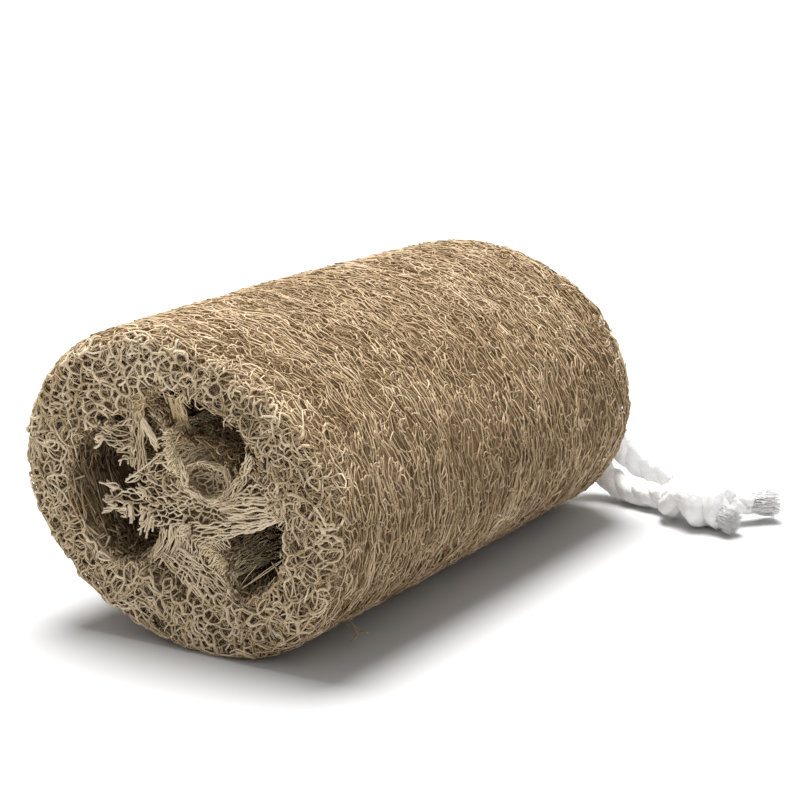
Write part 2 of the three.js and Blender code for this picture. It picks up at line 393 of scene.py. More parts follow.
def net_of(points):
    """The net between scattered points: its knots, and the strands that join two of them."""
    flat = [Vector(point) for point in points]
    faces = geometry.delaunay_2d_cdt(flat, [], [], 0, 1e-7)[2]
    corners = np.array([face for face in faces if len(face) == 3])
    knots = points[corners].mean(axis=1)
    sides = np.concatenate([corners[:, [0, 1]], corners[:, [1, 2]], corners[:, [2, 0]]])
    owner = np.tile(np.arange(len(corners)), 3)
    sides.sort(axis=1)
    order = np.lexsort((sides[:, 1], sides[:, 0]))
    sides, owner = sides[order], owner[order]
    same = np.all(sides[1:] == sides[:-1], axis=1)
    return knots, np.stack([owner[:-1][same], owner[1:][same]], -1)


def wrapped_net(columns, rows, jitter, rng):
    """A net of unit cells on a strip whose two long sides meet, as round a tube.
    It leaves out strands of more than 1.5 cells, which would cross the strip's open ends."""
    points = lattice(columns, rows, jitter, rng)
    left = points[points[:, 0] < 4] + (columns, 0)
    right = points[points[:, 0] > columns - 4] - (columns, 0)
    knots, strands = net_of(np.concatenate([points, left, right]))
    middle = knots[:, 0][strands].mean(axis=1)
    span = np.linalg.norm(knots[strands[:, 0]] - knots[strands[:, 1]], axis=1)
    return knots, strands[(middle >= 0) & (middle < columns) & (span < 1.5)]


def strung(knots, strands):
    """Strands joined end to end into long fibres, the straightest pair at each knot.
    Returns the fibres as knot numbers in a row, and the number of knots in each."""
    sharpest, longest = 0.35, 40
    at = [[] for _ in range(len(knots))]
    for number, (a, b) in enumerate(strands.tolist()):
        at[a].append(number)
        at[b].append(number)
    heading = knots[strands[:, 1]] - knots[strands[:, 0]]
    heading /= np.maximum(np.linalg.norm(heading, axis=1, keepdims=True), 1e-9)
    partner = {}
    start_of = strands[:, 0]
    for knot, here in enumerate(at):
        if len(here) < 2:
            continue
        best, pair = sharpest, None
        for i, one in enumerate(here):
            for other in here[i + 1 :]:
                sign_a = 1 if start_of[one] == knot else -1
                sign_b = 1 if start_of[other] == knot else -1
                bend = float(np.dot(heading[one], heading[other])) * sign_a * sign_b
                if bend < best:
                    best, pair = bend, (one, other)
        if pair:
            partner[(knot, pair[0])] = pair[1]
            partner[(knot, pair[1])] = pair[0]
    used = np.zeros(len(strands), bool)
    rows, counts = [], []

    def follow(number, knot):
        row = [knot]
        while number is not None and not used[number] and len(row) < longest:
            used[number] = True
            a, b = strands[number]
            knot = b if a == knot else a
            row.append(knot)
            number = partner.get((knot, number))
        rows.extend(row)
        counts.append(len(row))

    for number, (a, b) in enumerate(strands.tolist()):
        for knot in (a, b):
            if not used[number] and (knot, number) not in partner:
                follow(number, knot)
    for number, (a, _) in enumerate(strands.tolist()):
        if not used[number]:
            follow(number, a)
    return np.array(rows), np.array(counts)


class Ripple:
    """A smooth random field over a plane, from a few waves, for wander and for lie."""

    def __init__(self, rng, longest, shortest, waves=14, period=None):
        angle = rng.uniform(0, 2 * math.pi, waves)
        length = np.exp(rng.uniform(math.log(shortest), math.log(longest), waves))
        self.u = np.cos(angle) / length * 2 * math.pi
        self.v = np.sin(angle) / length * 2 * math.pi
        if period:
            self.u = np.round(self.u * period / (2 * math.pi)) * 2 * math.pi / period
        self.phase = rng.uniform(0, 2 * math.pi, waves)
        self.size = length / length.mean() / math.sqrt(waves / 2)

    def __call__(self, u, v):
        u, v = np.asarray(u)[..., None], np.asarray(v)[..., None]
        return np.sum(np.sin(self.u * u + self.v * v + self.phase) * self.size, -1)


def skin_point(u, v, depth):
    """A point of the side: u round the gourd, v along it, depth under its surface."""
    angle = u / AROUND * 2 * math.pi
    v = np.clip(v, -HALF + 0.05, HALF - 0.05)
    radius = reach(angle, v) * rim_share(v) - depth
    return place(angle, radius, v)


def skin_lift(rise):
    """The slow rise and fall of a skin net, in millimetres."""
    return lambda u, v: 0.1 * rise(u, v)


def skin_net(fibres, rng, cell, depth, rough, radius, jitter, wander, lift):
    """A net over the whole side, with cells drawn out round the gourd."""
    long, wide = cell
    margin = 2
    columns = int(AROUND / long)
    knots, strands = wrapped_net(columns, int((LENGTH + 2 * margin) / wide / ROW), jitter, rng)
    u, v = knots[:, 0] / columns * AROUND, knots[:, 1] * wide - HALF - margin
    v = v + wander(u, v)
    strands = strands[np.abs(v[strands]).min(axis=1) < HALF - 1.0]
    deep = depth + rough * rng.normal(0, 1, len(u)) + lift(u, v)
    rows, counts = strung(np.stack([u, v], -1), strands)
    thick = radii_about(radius, 0.18, len(u), rng)
    tones = tones_about(0.5, 0.14, len(counts), rng)
    fibres.add(skin_point(u[rows], v[rows], deep[rows]), counts, thick[rows], tones)


def curled(spots, heading, length, steps, bend, rng):
    """Curved paths in a plane from their middles: each turns steadily, and a little at random."""
    number = len(spots)
    stretch = length[:, None] / (steps - 1)
    turn = rng.normal(0, bend, (number, 1)) * stretch
    turn = turn + rng.normal(0, bend * 0.6, (number, steps - 1)) * stretch
    angle = heading[:, None] + np.cumsum(turn, axis=1) - turn.sum(axis=1, keepdims=True) / 2
    move = np.stack([np.cos(angle), np.sin(angle)], -1) * stretch[..., None]
    path = np.concatenate([np.zeros((number, 1, 2)), np.cumsum(move, axis=1)], axis=1)
    return path - path.mean(axis=1, keepdims=True) + spots[:, None]


def skin_curls(fibres, rng, number, length, radius, lie):
    """Loose curved fibres over the side, their ends tucked into the net."""
    steps = 5
    spots = np.stack([rng.uniform(0, AROUND, number), rng.uniform(-HALF + 1, HALF - 1, number)], -1)
    heading = 0.3 * lie(spots[:, 0], spots[:, 1]) + rng.normal(0, 0.55, number)
    size = rng.uniform(*length, number)
    path = curled(spots, heading, size, steps, 0.5, rng)
    share = np.linspace(0, 1, steps)
    top = rng.uniform(-0.12, 0.3, (number, 1))
    end = np.where(rng.uniform(0, 1, (number, 1)) < 0.25, -0.25, 0.75)
    deep = top + (end - top) * (2 * share - 1) ** 2
    deep[:, 0] = np.maximum(deep[:, 0], 0.5)
    points = skin_point(path[..., 0], path[..., 1], deep)
    radii = radii_about(radius, 0.2, number, rng)
    fibres.add_rows(points, radii, tones_about(0.58, 0.15, number, rng))


def rim_point(side, u, m, depth):
    """A point of the rounded rim: u round it, m from the cut end (under 0) over it to the side."""
    angle = u / AROUND * 2 * math.pi
    full = reach(angle, side * HALF)
    phi = np.clip(m / RIM_ARC, 0, 1) * math.pi / 2
    radius = full * (1 - RIM_ROUND * (1 - np.sin(phi))) + np.minimum(m, 0)
    into = RIM * (1 - np.cos(phi)) + np.maximum(m - RIM_ARC, 0)
    radius = radius - depth * np.sin(phi)
    into = into + depth * np.cos(phi)
    return place(angle, radius, side * (HALF - into))


def rim_curls(fibres, side, rng, number, radius):
    """Loose loops from the side over the rim on to the cut end."""
    steps = 6
    spots = np.stack([rng.uniform(0, AROUND, number), rng.uniform(-7, 13, number)], -1)
    heading = rng.normal(0, 0.75, number)
    path = curled(spots, heading, rng.uniform(4, 10, number), steps, 0.3, rng)
    share = np.linspace(-1, 1, steps)
    deep = rng.uniform(-0.1, 0.4, (number, 1)) + 0.7 * share**2
    points = rim_point(side, path[..., 0], path[..., 1], deep)
    radii = radii_about(radius, 0.2, number, rng)
    fibres.add_rows(points, radii, tones_about(0.58, 0.15, number, rng))


# Finishes


def new_material(name, roughness, specular):
    """A material with its node tree and its shader."""
    material = bpy.data.materials.new(name)
    material.use_nodes = True
    tree = material.node_tree
    shader = tree.nodes["Principled BSDF"]
    shader.inputs["Roughness"].default_value = roughness
    shader.inputs["Specular IOR Level"].default_value = specular
    return material, tree, shader


def noise(tree, scale, detail):
    """Noise that reads Object coordinates."""
    where = tree.nodes.new("ShaderNodeTexCoord")
    texture = tree.nodes.new("ShaderNodeTexNoise")
    texture.inputs["Scale"].default_value = scale
    texture.inputs["Detail"].default_value = detail
    tree.links.new(where.outputs["Object"], texture.inputs["Vector"])
    return texture.outputs["Fac"]


def fibre_tone(tree):
    """The tone that each fibre of a mesh carries."""
    tone = tree.nodes.new("ShaderNodeAttribute")
    tone.attribute_name = "tone"
    return tone.outputs["Fac"]


def calculated(tree, operation, *values, clamp=False):
    """The result of a sum done on sockets or numbers."""
    node = tree.nodes.new("ShaderNodeMath")
    node.operation = operation
    node.use_clamp = clamp
    for socket, value in zip(node.inputs, values):
        if isinstance(value, float):
            socket.default_value = value
        else:
            tree.links.new(value, socket)
    return node.outputs[0]


def raise_grain(tree, shader, height, strength, distance):
    """Bumps on the surface, with their distance in metres."""
    bump = tree.nodes.new("ShaderNodeBump")
    bump.inputs["Strength"].default_value = strength
    bump.inputs["Distance"].default_value = distance
    tree.links.new(height, bump.inputs["Height"])
    tree.links.new(bump.outputs["Normal"], shader.inputs["Normal"])


def fibre_material(name, dark, mid, pale, roughness, grain, relief):
    """Dry plant fibre: a colour between three tones for each fibre, blotched and finely streaked."""
    material, tree, shader = new_material(name, roughness, 0.35)
    fine = noise(tree, grain, 4)
    blotched = calculated(tree, "MULTIPLY_ADD", noise(tree, 60, 3), 0.7, fibre_tone(tree))
    streaked = calculated(tree, "MULTIPLY_ADD", fine, 0.5, blotched)
    ramp = tree.nodes.new("ShaderNodeValToRGB")
    stops = ramp.color_ramp.elements
    stops[0].position, stops[0].color = 0.15, (*dark, 1)
    stops[1].position, stops[1].color = 0.9, (*pale, 1)
    stops.new(0.5).color = (*mid, 1)
    tree.links.new(calculated(tree, "SUBTRACT", streaked, 0.6), ramp.inputs["Fac"])
    tree.links.new(ramp.outputs["Color"], shader.inputs["Base Color"])
    raise_grain(tree, shader, fine, 0.6, relief * MM)
    return material


def cotton_material(name, colour, shade):
    """Soft cotton: pale fibres, greyed a little by fine lint and more where their tone is low, which is
    painted shade on the frayed tails, and a faint sheen.
    """
    material, tree, shader = new_material(name, 0.95, 0.2)
    shader.inputs["Sheen Weight"].default_value = 0.15
    lint = noise(tree, 450, 4)
    mix = tree.nodes.new("ShaderNodeMix")
    mix.data_type = "RGBA"
    mix.inputs["A"].default_value = (*shade, 1)
    mix.inputs["B"].default_value = (*colour, 1)
    level = calculated(tree, "MULTIPLY_ADD", lint, 0.5, fibre_tone(tree), clamp=True)
    tree.links.new(level, mix.inputs["Factor"])
    tree.links.new(mix.outputs["Result"], shader.inputs["Base Color"])
    raise_grain(tree, shader, lint, 0.8, 0.8 * MM)
    return material


# For each finish of fibre: its name in the colours, its roughness, the scale of its grain, and the
# height of its grain in millimetres
FIBRE_FINISHES = {
    "Skin fibre": ("skin", 0.7, 900, 0.1),
    # Low, Channel and Deep fibre are darker as painted shade; Flap fibre is paler as painted light.
    "Low fibre, painted shade": ("low", 0.75, 900, 0.1),
    "Inner fibre": ("inner", 0.75, 900, 0.1),
    "Channel fibre, painted shade": ("channel", 0.8, 900, 0.1),
    "Flap fibre, painted light": ("flap", 0.8, 900, 0.1),
    "Deep fibre, painted shade": ("deep", 0.9, 500, 1.5),
}


def material_named(name):
    """The finish of that name, made when it is first asked for."""
    found = bpy.data.materials.get(name)
    if found:
        return found
    colours = bpy.context.scene.loofah_colours
    if name == "Cotton":
        return cotton_material(name, colours.cotton, colours.cotton_painted_shade)
    family, roughness, grain, relief = FIBRE_FINISHES[name]
    tones = [getattr(colours, f"{family}_{tone}") for tone in ("dark", "mid", "pale")]
    return fibre_material(name, *tones, roughness, grain, relief)


# Settings


def colour(name, description, value):
    return FloatVectorProperty(
        name=name, description=description, default=value, subtype="COLOR", size=3, min=0, max=1
    )


def turn(name, description, degrees):
    value = math.radians(degrees)
    return FloatProperty(name=name, description=description, default=value, subtype="ANGLE", unit="ROTATION")


class LoofahColours(bpy.types.PropertyGroup):
    """Colours of the fibres and of the cotton."""

    skin_dark: colour("Dark skin fibre", "Darkest fibres of the skin", (0.26, 0.168, 0.082))
    skin_mid: colour("Skin fibre", "Most fibres of the skin", (0.49, 0.35, 0.20))
    skin_pale: colour("Pale skin fibre", "Palest fibres of the skin", (0.76, 0.60, 0.41))
    inner_dark: colour("Dark inner fibre", "Darkest fibres of the cut ends", (0.32, 0.22, 0.12))
    inner_mid: colour("Inner fibre", "Most fibres of the cut ends", (0.56, 0.425, 0.262))
    inner_pale: colour("Pale inner fibre", "Palest fibres of the cut ends", (0.82, 0.69, 0.50))
    # The skin's lower net: darker than the top net's colours as painted shade under it.
    low_dark: colour("Dark low fibre", "Darkest fibres of the skin's lower net", (0.24, 0.155, 0.075))
    low_mid: colour("Low fibre, painted shade", "Most fibres of the skin's lower net", (0.43, 0.30, 0.165))
    low_pale: colour("Pale low fibre", "Palest fibres of the skin's lower net", (0.62, 0.475, 0.30))
    # In the seed channels: darker than the cut ends' fibres as painted shade of the channels' depth.
    channel_dark: colour("Dark channel fibre", "Darkest fibres in the channels", (0.24, 0.155, 0.08))
    channel_mid: colour("Channel fibre, painted shade", "Most fibres in the channels", (0.48, 0.345, 0.195))
    channel_pale: colour("Pale channel fibre", "Palest fibres in the channels", (0.74, 0.59, 0.39))
    # Under the nets: the fibres' own brown, made darker than the nets' colours as painted shade of the depth.
    deep_dark: colour("Dark deep fibre", "Darkest fibres under the nets", (0.20, 0.13, 0.066))
    deep_mid: colour("Deep fibre, painted shade", "Most fibres under the nets", (0.36, 0.255, 0.14))
    deep_pale: colour("Pale deep fibre", "Palest fibres under the nets", (0.56, 0.42, 0.25))
    # The torn sheets: paler than the cut ends' fibres as painted light, since the sheets lie in shade.
    flap_dark: colour("Dark flap fibre", "Darkest fibres of the torn sheets", (0.46, 0.33, 0.17))
    flap_mid: colour("Flap fibre, painted light", "Most fibres of the torn sheets", (0.72, 0.56, 0.33))
    flap_pale: colour("Pale flap fibre", "Palest fibres of the torn sheets", (0.95, 0.80, 0.55))
    cotton: colour("Cotton", "The cord's own pale colour", (0.96, 0.955, 0.945))
    # Grey mixed in by fine lint, and painted shade on the frayed tails, whose fibres have low tones.
    cotton_painted_shade: colour("Grey cotton", "Grey from fine lint, and painted shade on the frayed tails", (0.86, 0.85, 0.84))


class LoofahSizes(bpy.types.PropertyGroup):
    """Sizes of the fibres and of the cells of the nets, in millimetres."""

    skin_fibre: FloatProperty(
        name="Skin fibre", description="Radius of a fibre of the skin, in mm", default=0.19, min=0.05, max=1
    )
    curls: IntProperty(
        name="Skin curls", description="Number of loose curved fibres on the skin", default=4000, min=0
    )
    cell_length: FloatProperty(
        name="Cell length", description="Length of a skin cell round the gourd, in mm", default=3.8, min=1
    )
    cell_width: FloatProperty(
        name="Cell width", description="Width of a skin cell along the gourd, in mm", default=1.2, min=0.5
    )
    end_cell: FloatProperty(
        name="Cut end cell", description="Size of a cell of the cut ends, in mm", default=2.65, min=1
    )
    seed: IntProperty(name="Seed", description="Start of the random numbers", default=7, min=0)


class CordSizes(bpy.types.PropertyGroup):
    """Sizes of the cotton cord, in millimetres."""

    diameter: FloatProperty(
        name="Diameter", description="Diameter of the cord, in mm", default=6.8, min=2, max=12
    )
    pitch: FloatProperty(
        name="Twist", description="Length of one full turn of a strand, in mm", default=17, min=5, max=60
    )


class StageSettings(bpy.types.PropertyGroup):
    """Light and camera."""

    sky: FloatProperty(name="Sky", description="Strength of the light all round", default=0.45, min=0)
    key: FloatProperty(name="Key", description="Strength of the large soft light", default=5.6, min=0)
    key_size: turn("Key size", "Width of the soft light", 34)
    key_height: turn("Key height", "Height of the light over the horizon", 72)
    key_turn: turn("Key turn", "Side that the light is on", 134)
    lens: FloatProperty(name="Lens", description="Focal length, in mm", default=126, min=20, max=300)


# Pieces


def aimed(name, data, place, direction):
    """A camera or a light at a place, turned to look in a direction."""
    item = bpy.data.objects.new(name, data)
    bpy.context.collection.objects.link(item)
    item.location = place
    item.rotation_euler = direction.to_track_quat("-Z", "Y").to_euler()
    return item


class LOOFAH_OT_stage(bpy.types.Operator):
    """Add the floor, the soft light and the camera"""

    bl_idname = "loofah.stage"
    bl_label = "Stage"

    def execute(self, context):
        settings = context.scene.loofah_stage
        self.camera(context.scene, settings.lens)
        bpy.ops.object.select_all(action="DESELECT")
        bpy.ops.mesh.primitive_plane_add(size=8, location=(0, 0, 0))
        floor = context.active_object
        floor.name = "Floor"
        paint, _, shader = new_material("Pale floor", 0.9, 0.5)
        shader.inputs["Base Color"].default_value = FLOOR_GREY
        floor.data.materials.append(paint)
        world = bpy.data.worlds.new("Studio") if context.scene.world is None else context.scene.world
        context.scene.world = world
        world.use_nodes = True
        background = world.node_tree.nodes["Background"]
        background.inputs["Color"].default_value = WHITE
        background.inputs["Strength"].default_value = settings.sky
        self.key_light(settings)
        context.scene.view_settings.view_transform = "Standard"
        return {"FINISHED"}

    def camera(self, scene, lens):
        data = bpy.data.cameras.new("Camera")
        data.lens = lens
        data.sensor_width = 36
        data.clip_start = 0.01
        data.clip_end = 20
        scene.camera = aimed("Camera", data, CAMERA_PLACE, Vector(CAMERA_DIRECTION))

    def key_light(self, settings):
        data = bpy.data.lights.new("Key light", "SUN")
        data.angle = settings.key_size
        data.energy = settings.key
        height, turn = settings.key_height, settings.key_turn
        level = math.cos(height)
        away = Vector((math.cos(turn) * level, math.sin(turn) * level, math.sin(height)))
        aimed("Key light", data, away * 2, -away)


def spline(points, steps):
    """A smooth curve beside control points (a uniform cubic B-spline)."""
    given = np.array(points, float)
    full = np.vstack([2 * given[0] - given[1], given, 2 * given[-1] - given[-2]])
    spans = len(full) - 3
    t = np.linspace(0, spans, steps)
    span = np.minimum(t.astype(int), spans - 1)
    w = (t - span)[:, None]
    a, b, c, d = full[span], full[span + 1], full[span + 2], full[span + 3]
    blend = (1 - w) ** 3 * a + (3 * w**3 - 6 * w**2 + 4) * b
    return (blend + (-3 * w**3 + 3 * w**2 + 3 * w + 1) * c + w**3 * d) / 6


def by_length(line, distances):
    """Points of a line at distances along it."""
    steps = np.linalg.norm(np.diff(line, axis=0), axis=1)
    along = np.concatenate([[0], np.cumsum(steps)])
    return np.stack([np.interp(distances, along, line[:, k]) for k in range(3)], -1)


def line_length(line):
    """The length of a line of points."""
    return float(np.sum(np.linalg.norm(np.diff(line, axis=0), axis=1)))


ROUTE = spline(CORD_ROUTE, 4000)
ROUTE_LENGTH = line_length(ROUTE)


def twisted(fibres, line, start, diameter, pitch, rng, relief=0.17):
    """Three strands laid round a line, from a phase that fits the distance start along the cord."""
    across, over = frames(line, [len(line)], np.random.default_rng(5))
    steps = np.linalg.norm(np.diff(line, axis=0), axis=1)
    along = np.concatenate([[0], np.cumsum(steps)]) + start
    for strand in range(3):
        turn = (along / pitch + strand / 3) * 2 * math.pi
        off = across * np.cos(turn)[:, None] + over * np.sin(turn)[:, None]
        knobs = np.arange(along[0] - 3, along[-1] + 5, 1.3)
        lumps = np.interp(along, knobs, 1 + rng.normal(0, 0.05, len(knobs)))
        radii = diameter * (0.5 - relief) * lumps
        fibres.add(line + off * diameter * relief, [len(line)], radii, 0.7 + 0.06 * rng.normal())


def directions(shape, rng):
    """Random directions, each of length one."""
    way = rng.normal(0, 1, shape)
    return way / np.linalg.norm(way, axis=1, keepdims=True)


def lint_on(fibres, line, diameter, number, rng):
    """Short loose cotton fibres that stand off the cord."""
    base = by_length(line, rng.uniform(0, line_length(line), number))
    off = directions(base.shape, rng)
    start = base + off * diameter * 0.44
    lean = directions(base.shape, rng)
    size = rng.uniform(0.4, 1.3, (number, 1))
    middle = start + (off * 0.45 + lean * 0.35) * size
    tip = middle + (lean * 0.7 + off * 0.1) * size
    fibres.add_rows(np.stack([start, middle, tip], 1), 0.04, 0.8)


class LOOFAH_OT_cord(bpy.types.Operator):
    """Add the twisted cord, its knot and its frayed ends"""

    bl_idname = "loofah.cord"
    bl_label = "Cord"

    def execute(self, context):
        sizes = context.scene.loofah_cord
        rng = np.random.default_rng(41)
        cotton = material_named("Cotton")
        # For each stretch: where it starts and stops, the length between points, and the lint on a millimetre
        stretches = (
            ("cord_lower_leg", 0.0, LOWER_MOUTH, 1.0, 22),
            ("cord_in_core", LOWER_MOUTH, UPPER_MOUTH, 2.0, 0.5),
            ("cord_upper_leg", UPPER_MOUTH, ROUTE_LENGTH, 1.0, 22),
        )
        for name, start, stop, step, lint_share in stretches:
            length = stop - start
            line = by_length(ROUTE, np.linspace(start, stop, int(length / step)))
            fibres, lint = Fibres(), Fibres()
            twisted(fibres, line, start, sizes.diameter, sizes.pitch, rng)
            lint_on(lint, line, sizes.diameter, int(length * lint_share), rng)
            piece = fibre_piece(name + "_twist", [(fibres, 8), (lint, 3)], rng, cotton)
            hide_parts(name)
        knot = self.knot(sizes, rng, cotton)
        long_tail = self.tail("cord_long_tail", LONG_TAIL, sizes, rng, cotton)
        short_tail = self.tail("cord_short_tail", SHORT_TAIL, sizes, rng, cotton)
        return {"FINISHED"}

    def knot(self, sizes, rng, cotton):
        """Wraps of the cord drawn tight round each other."""
        fibres, lint = Fibres(), Fibres()
        turn = np.linspace(0, 2 * math.pi, 30)
        for along, lean, size, thick in KNOT_WRAPS:
            side = np.stack([np.sin(lean) * np.sin(turn), np.cos(turn), np.cos(lean) * np.sin(turn)], -1)
            line = side * size + (along, -1.4 * (size - 2.5), 0)
            twisted(fibres, line, 3 * along, thick, sizes.pitch * 1.3, rng, relief=0.13)
            lint_on(lint, line, thick, 260, rng)
        core = np.zeros((24, 3))
        core[:, 0] = np.linspace(-KNOT_HALF_LENGTH, KNOT_HALF_LENGTH, len(core))
        twisted(fibres, core, 0, sizes.diameter * 0.85, sizes.pitch, rng)
        c, s = math.cos(KNOT_TURN), math.sin(KNOT_TURN)
        turned = np.array(((c, -s, 0), (s, c, 0), (0, 0, 1)))
        for part in (fibres, lint):
            part.points = [points @ turned.T + KNOT for points in part.points]
        piece = fibre_piece("cord_knot_twist", [(fibres, 8), (lint, 3)], rng, cotton)
        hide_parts("cord_knot")
        return piece

    def tail(self, name, ends, sizes, rng, cotton):
        """A cut end of the cord, its strands coming apart into loose fibres, whose low tones grey them as
        painted shade.
        """
        start, stop = np.array(ends[0]), np.array(ends[1])
        line = start + (stop - start) * np.linspace(0, 1, 16)[:, None]
        fibres, loose = Fibres(), Fibres()
        twisted(fibres, line[:9], 0, sizes.diameter * 0.85, sizes.pitch, rng)
        number, loose_from = 520, 0.35
        length = float(np.linalg.norm(stop - start))
        along = (stop - start) / length
        off = rng.normal(0, 1, (number, 3))
        off -= (off @ along)[:, None] * along
        off /= np.linalg.norm(off, axis=1, keepdims=True)
        off *= np.sqrt(rng.uniform(0, 1, (number, 1)))
        stretch = rng.uniform(0.82, 1.06, number)
        rows = []
        for share in np.linspace(loose_from, 1.0, 5):
            spread = 2.2 + 1.5 * (share - loose_from)
            spot = start + along * length * (loose_from + (share - loose_from) * stretch[:, None])
            rows.append(spot + off * spread + rng.normal(0, 0.2, off.shape))
        # Low tones turn the loose fibres grey: painted shade on the frayed tail.
        loose.add_rows(np.stack(rows, 1), 0.08, rng.uniform(0.0, 0.5, number))
        piece = fibre_piece(name + "_frayed", [(fibres, 8), (loose, 3)], rng, cotton)
        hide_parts(name)
        return piece


class LOOFAH_OT_under_layer(bpy.types.Operator):
    """Add the dense brown fibre under the nets, darker than the nets as painted shade and paler in the outer
    ring of each cut end as painted light
    """

    bl_idname = "loofah.under_layer"
    bl_label = "Under layer"

    voxel = 2.0 * MM
    set_back = 1.5 * MM
    lump_size = 3.5 * MM
    lump_height = 1.2 * MM

    def execute(self, context):
        bpy.ops.object.select_all(action="DESELECT")
        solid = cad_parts["loofah_body"]
        piece = bpy.data.objects.new("under_layer", solid.data.copy())
        context.collection.objects.link(piece)
        piece.select_set(True)
        context.view_layer.objects.active = piece
        bpy.ops.object.mode_set(mode="EDIT")
        bpy.ops.mesh.select_all(action="SELECT")
        bpy.ops.mesh.remove_doubles(threshold=1e-6)
        bpy.ops.object.mode_set(mode="OBJECT")
        remesh = piece.modifiers.new("Even faces", "REMESH")
        remesh.mode = "VOXEL"
        remesh.voxel_size = self.voxel
        smooth = piece.modifiers.new("Soften", "SMOOTH")
        smooth.factor = 0.6
        smooth.iterations = 8
        shrink = piece.modifiers.new("Under the nets", "DISPLACE")
        shrink.mid_level = 0
        shrink.strength = -self.set_back
        clouds = bpy.data.textures.new("Uneven", "CLOUDS")
        clouds.noise_scale = self.lump_size
        lumps = piece.modifiers.new("Lumps", "DISPLACE")
        lumps.texture = clouds
        lumps.strength = self.lump_height
        for name in [modifier.name for modifier in piece.modifiers]:
            bpy.ops.object.modifier_apply(modifier=name)
        self.hollow_ends(piece.data)
        piece.data.materials.clear()
        # The layer's darker colours are painted shade of the depth under the nets, on the fibres' own brown.
        piece.data.materials.append(material_named("Deep fibre, painted shade"))
        bpy.ops.object.shade_smooth()
        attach(piece, "root")
        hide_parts("loofah_body")
        return {"FINISHED"}

    def hollow_ends(self, mesh):
        """Follows the swell of the nets, and sets the cut ends back, more so in the core. It gives each point
        a tone, raised in the outer ring of each cut end as painted light.
        """
        spots = np.empty(len(mesh.vertices) * 3, np.float32)
        mesh.vertices.foreach_get("co", spots)
        spots = spots.reshape(-1, 3) / MM
        y = spots[:, 1]
        up = spots[:, 2] - centre_height(y)
        angle = np.arctan2(up, spots[:, 0])
        grow = 1 + swell(angle, y) / np.maximum(np.hypot(up, spots[:, 0]), 20)
        spots[:, 0] *= grow
        spots[:, 2] = centre_height(y) + up * grow
        share = np.hypot(up, spots[:, 0]) / reach(angle, y)
        y = y * (1 + 0.02 * np.clip((np.abs(y) - 50) / 10, 0, 1))
        limit = np.interp(share, [0, 0.45, 0.62, 0.9, 1.0], [57, 58, 66, 67.4, 69.6])
        spots[:, 1] = np.clip(y, -limit, limit)
        spots[:, 2] = np.maximum(spots[:, 2], 0.05)
        mesh.vertices.foreach_set("co", (spots * MM).astype(np.float32).ravel())
        # Tone 0.45 over the layer and up to 0.85 in the outer ring of each cut end: painted light.
        tone = mesh.attributes.new("tone", "FLOAT", "POINT")
        ring = np.clip((np.abs(y) - 60) / 5, 0, 1) * np.clip((share - 0.6) / 0.1, 0, 1)
        tone.data.foreach_set("value", (0.45 + 0.4 * ring).astype(np.float32))
        mesh.update()


class LOOFAH_OT_skin(bpy.types.Operator):
    """Add the nets of fibres round the side"""

    bl_idname = "loofah.skin"
    bl_label = "Skin"

    def execute(self, context):
        sizes = context.scene.loofah_sizes
        rng = np.random.default_rng(sizes.seed)
        material = material_named("Skin fibre")
        drift = Ripple(rng, 60, 14, period=AROUND)
        fine_drift = Ripple(rng, 12, 5, period=AROUND)
        rise = Ripple(rng, 22, 5, period=AROUND)

        def wander(u, v):
            return 1.1 * drift(u, v) + 0.45 * fine_drift(u, v)

        cell = (sizes.cell_length, sizes.cell_width)
        top = Fibres()
        skin_net(
            top, rng, cell,
            depth=0.3, rough=0.16, radius=sizes.skin_fibre, jitter=0.72, wander=wander,
            lift=skin_lift(rise),
        )
        fibre_piece("skin_net_top", [(top, 3)], rng, material)
        # The lower net takes darker colours: painted shade under the top net.
        low = Fibres()
        wide_cell = (cell[0] * 1.3, cell[1] * 1.3)
        skin_net(
            low, rng, wide_cell,
            depth=0.95, rough=0.2, radius=sizes.skin_fibre * 1.15, jitter=0.6, wander=wander,
            lift=skin_lift(rise),
        )
        fibre_piece("skin_net_low", [(low, 3)], rng, material_named("Low fibre, painted shade"))
        curls = Fibres()
        skin_curls(
            curls, rng,
            number=sizes.curls, length=(2.5, 7), radius=sizes.skin_fibre * 0.85, lie=drift,
        )
        for strays in STRAY_CURLS:
            path = spline(strays, 14)
            curls.add(path, [len(path)], 0.2, 0.7)
        fibre_piece("skin_curls", [(curls, 3)], rng, material)
        return {"FINISHED"}


def end_polar(flat):
    """The angle and the distance of points across and up from the gourd's centreline."""
    return np.arctan2(flat[..., 1], flat[..., 0]), np.hypot(flat[..., 0], flat[..., 1])


def end_point(flat, side, depth):
    """A point of a cut end: flat is across and up from the centreline, depth is under the cut."""
    angle, radius = end_polar(flat)
    return place(angle, radius, side * (HALF - depth))


def end_share(flat, side):
    """How far out a point of a cut end is, as a share of the reach."""
    angle, radius = end_polar(flat)
    return radius / reach(angle, side * HALF)


def end_spots(side, rng, tries, half, shares, clear, number):
    """Random places of a cut end, between two shares of the reach and clear of the seed channels."""
    spots = rng.uniform(-half, half, (tries, 2))
    share = end_share(spots, side)
    field = channel_field(*end_polar(spots), side * HALF)
    return spots[(share < shares[1]) & (share > shares[0]) & (field > clear)][:number]


def warped(points, size, swirl):
    """Points pushed about by a smooth field, so that their net has small and large cells."""
    x, y = points[:, 0], points[:, 1]
    return points + size * np.stack([swirl[0](x, y), swirl[1](x, y)], -1)


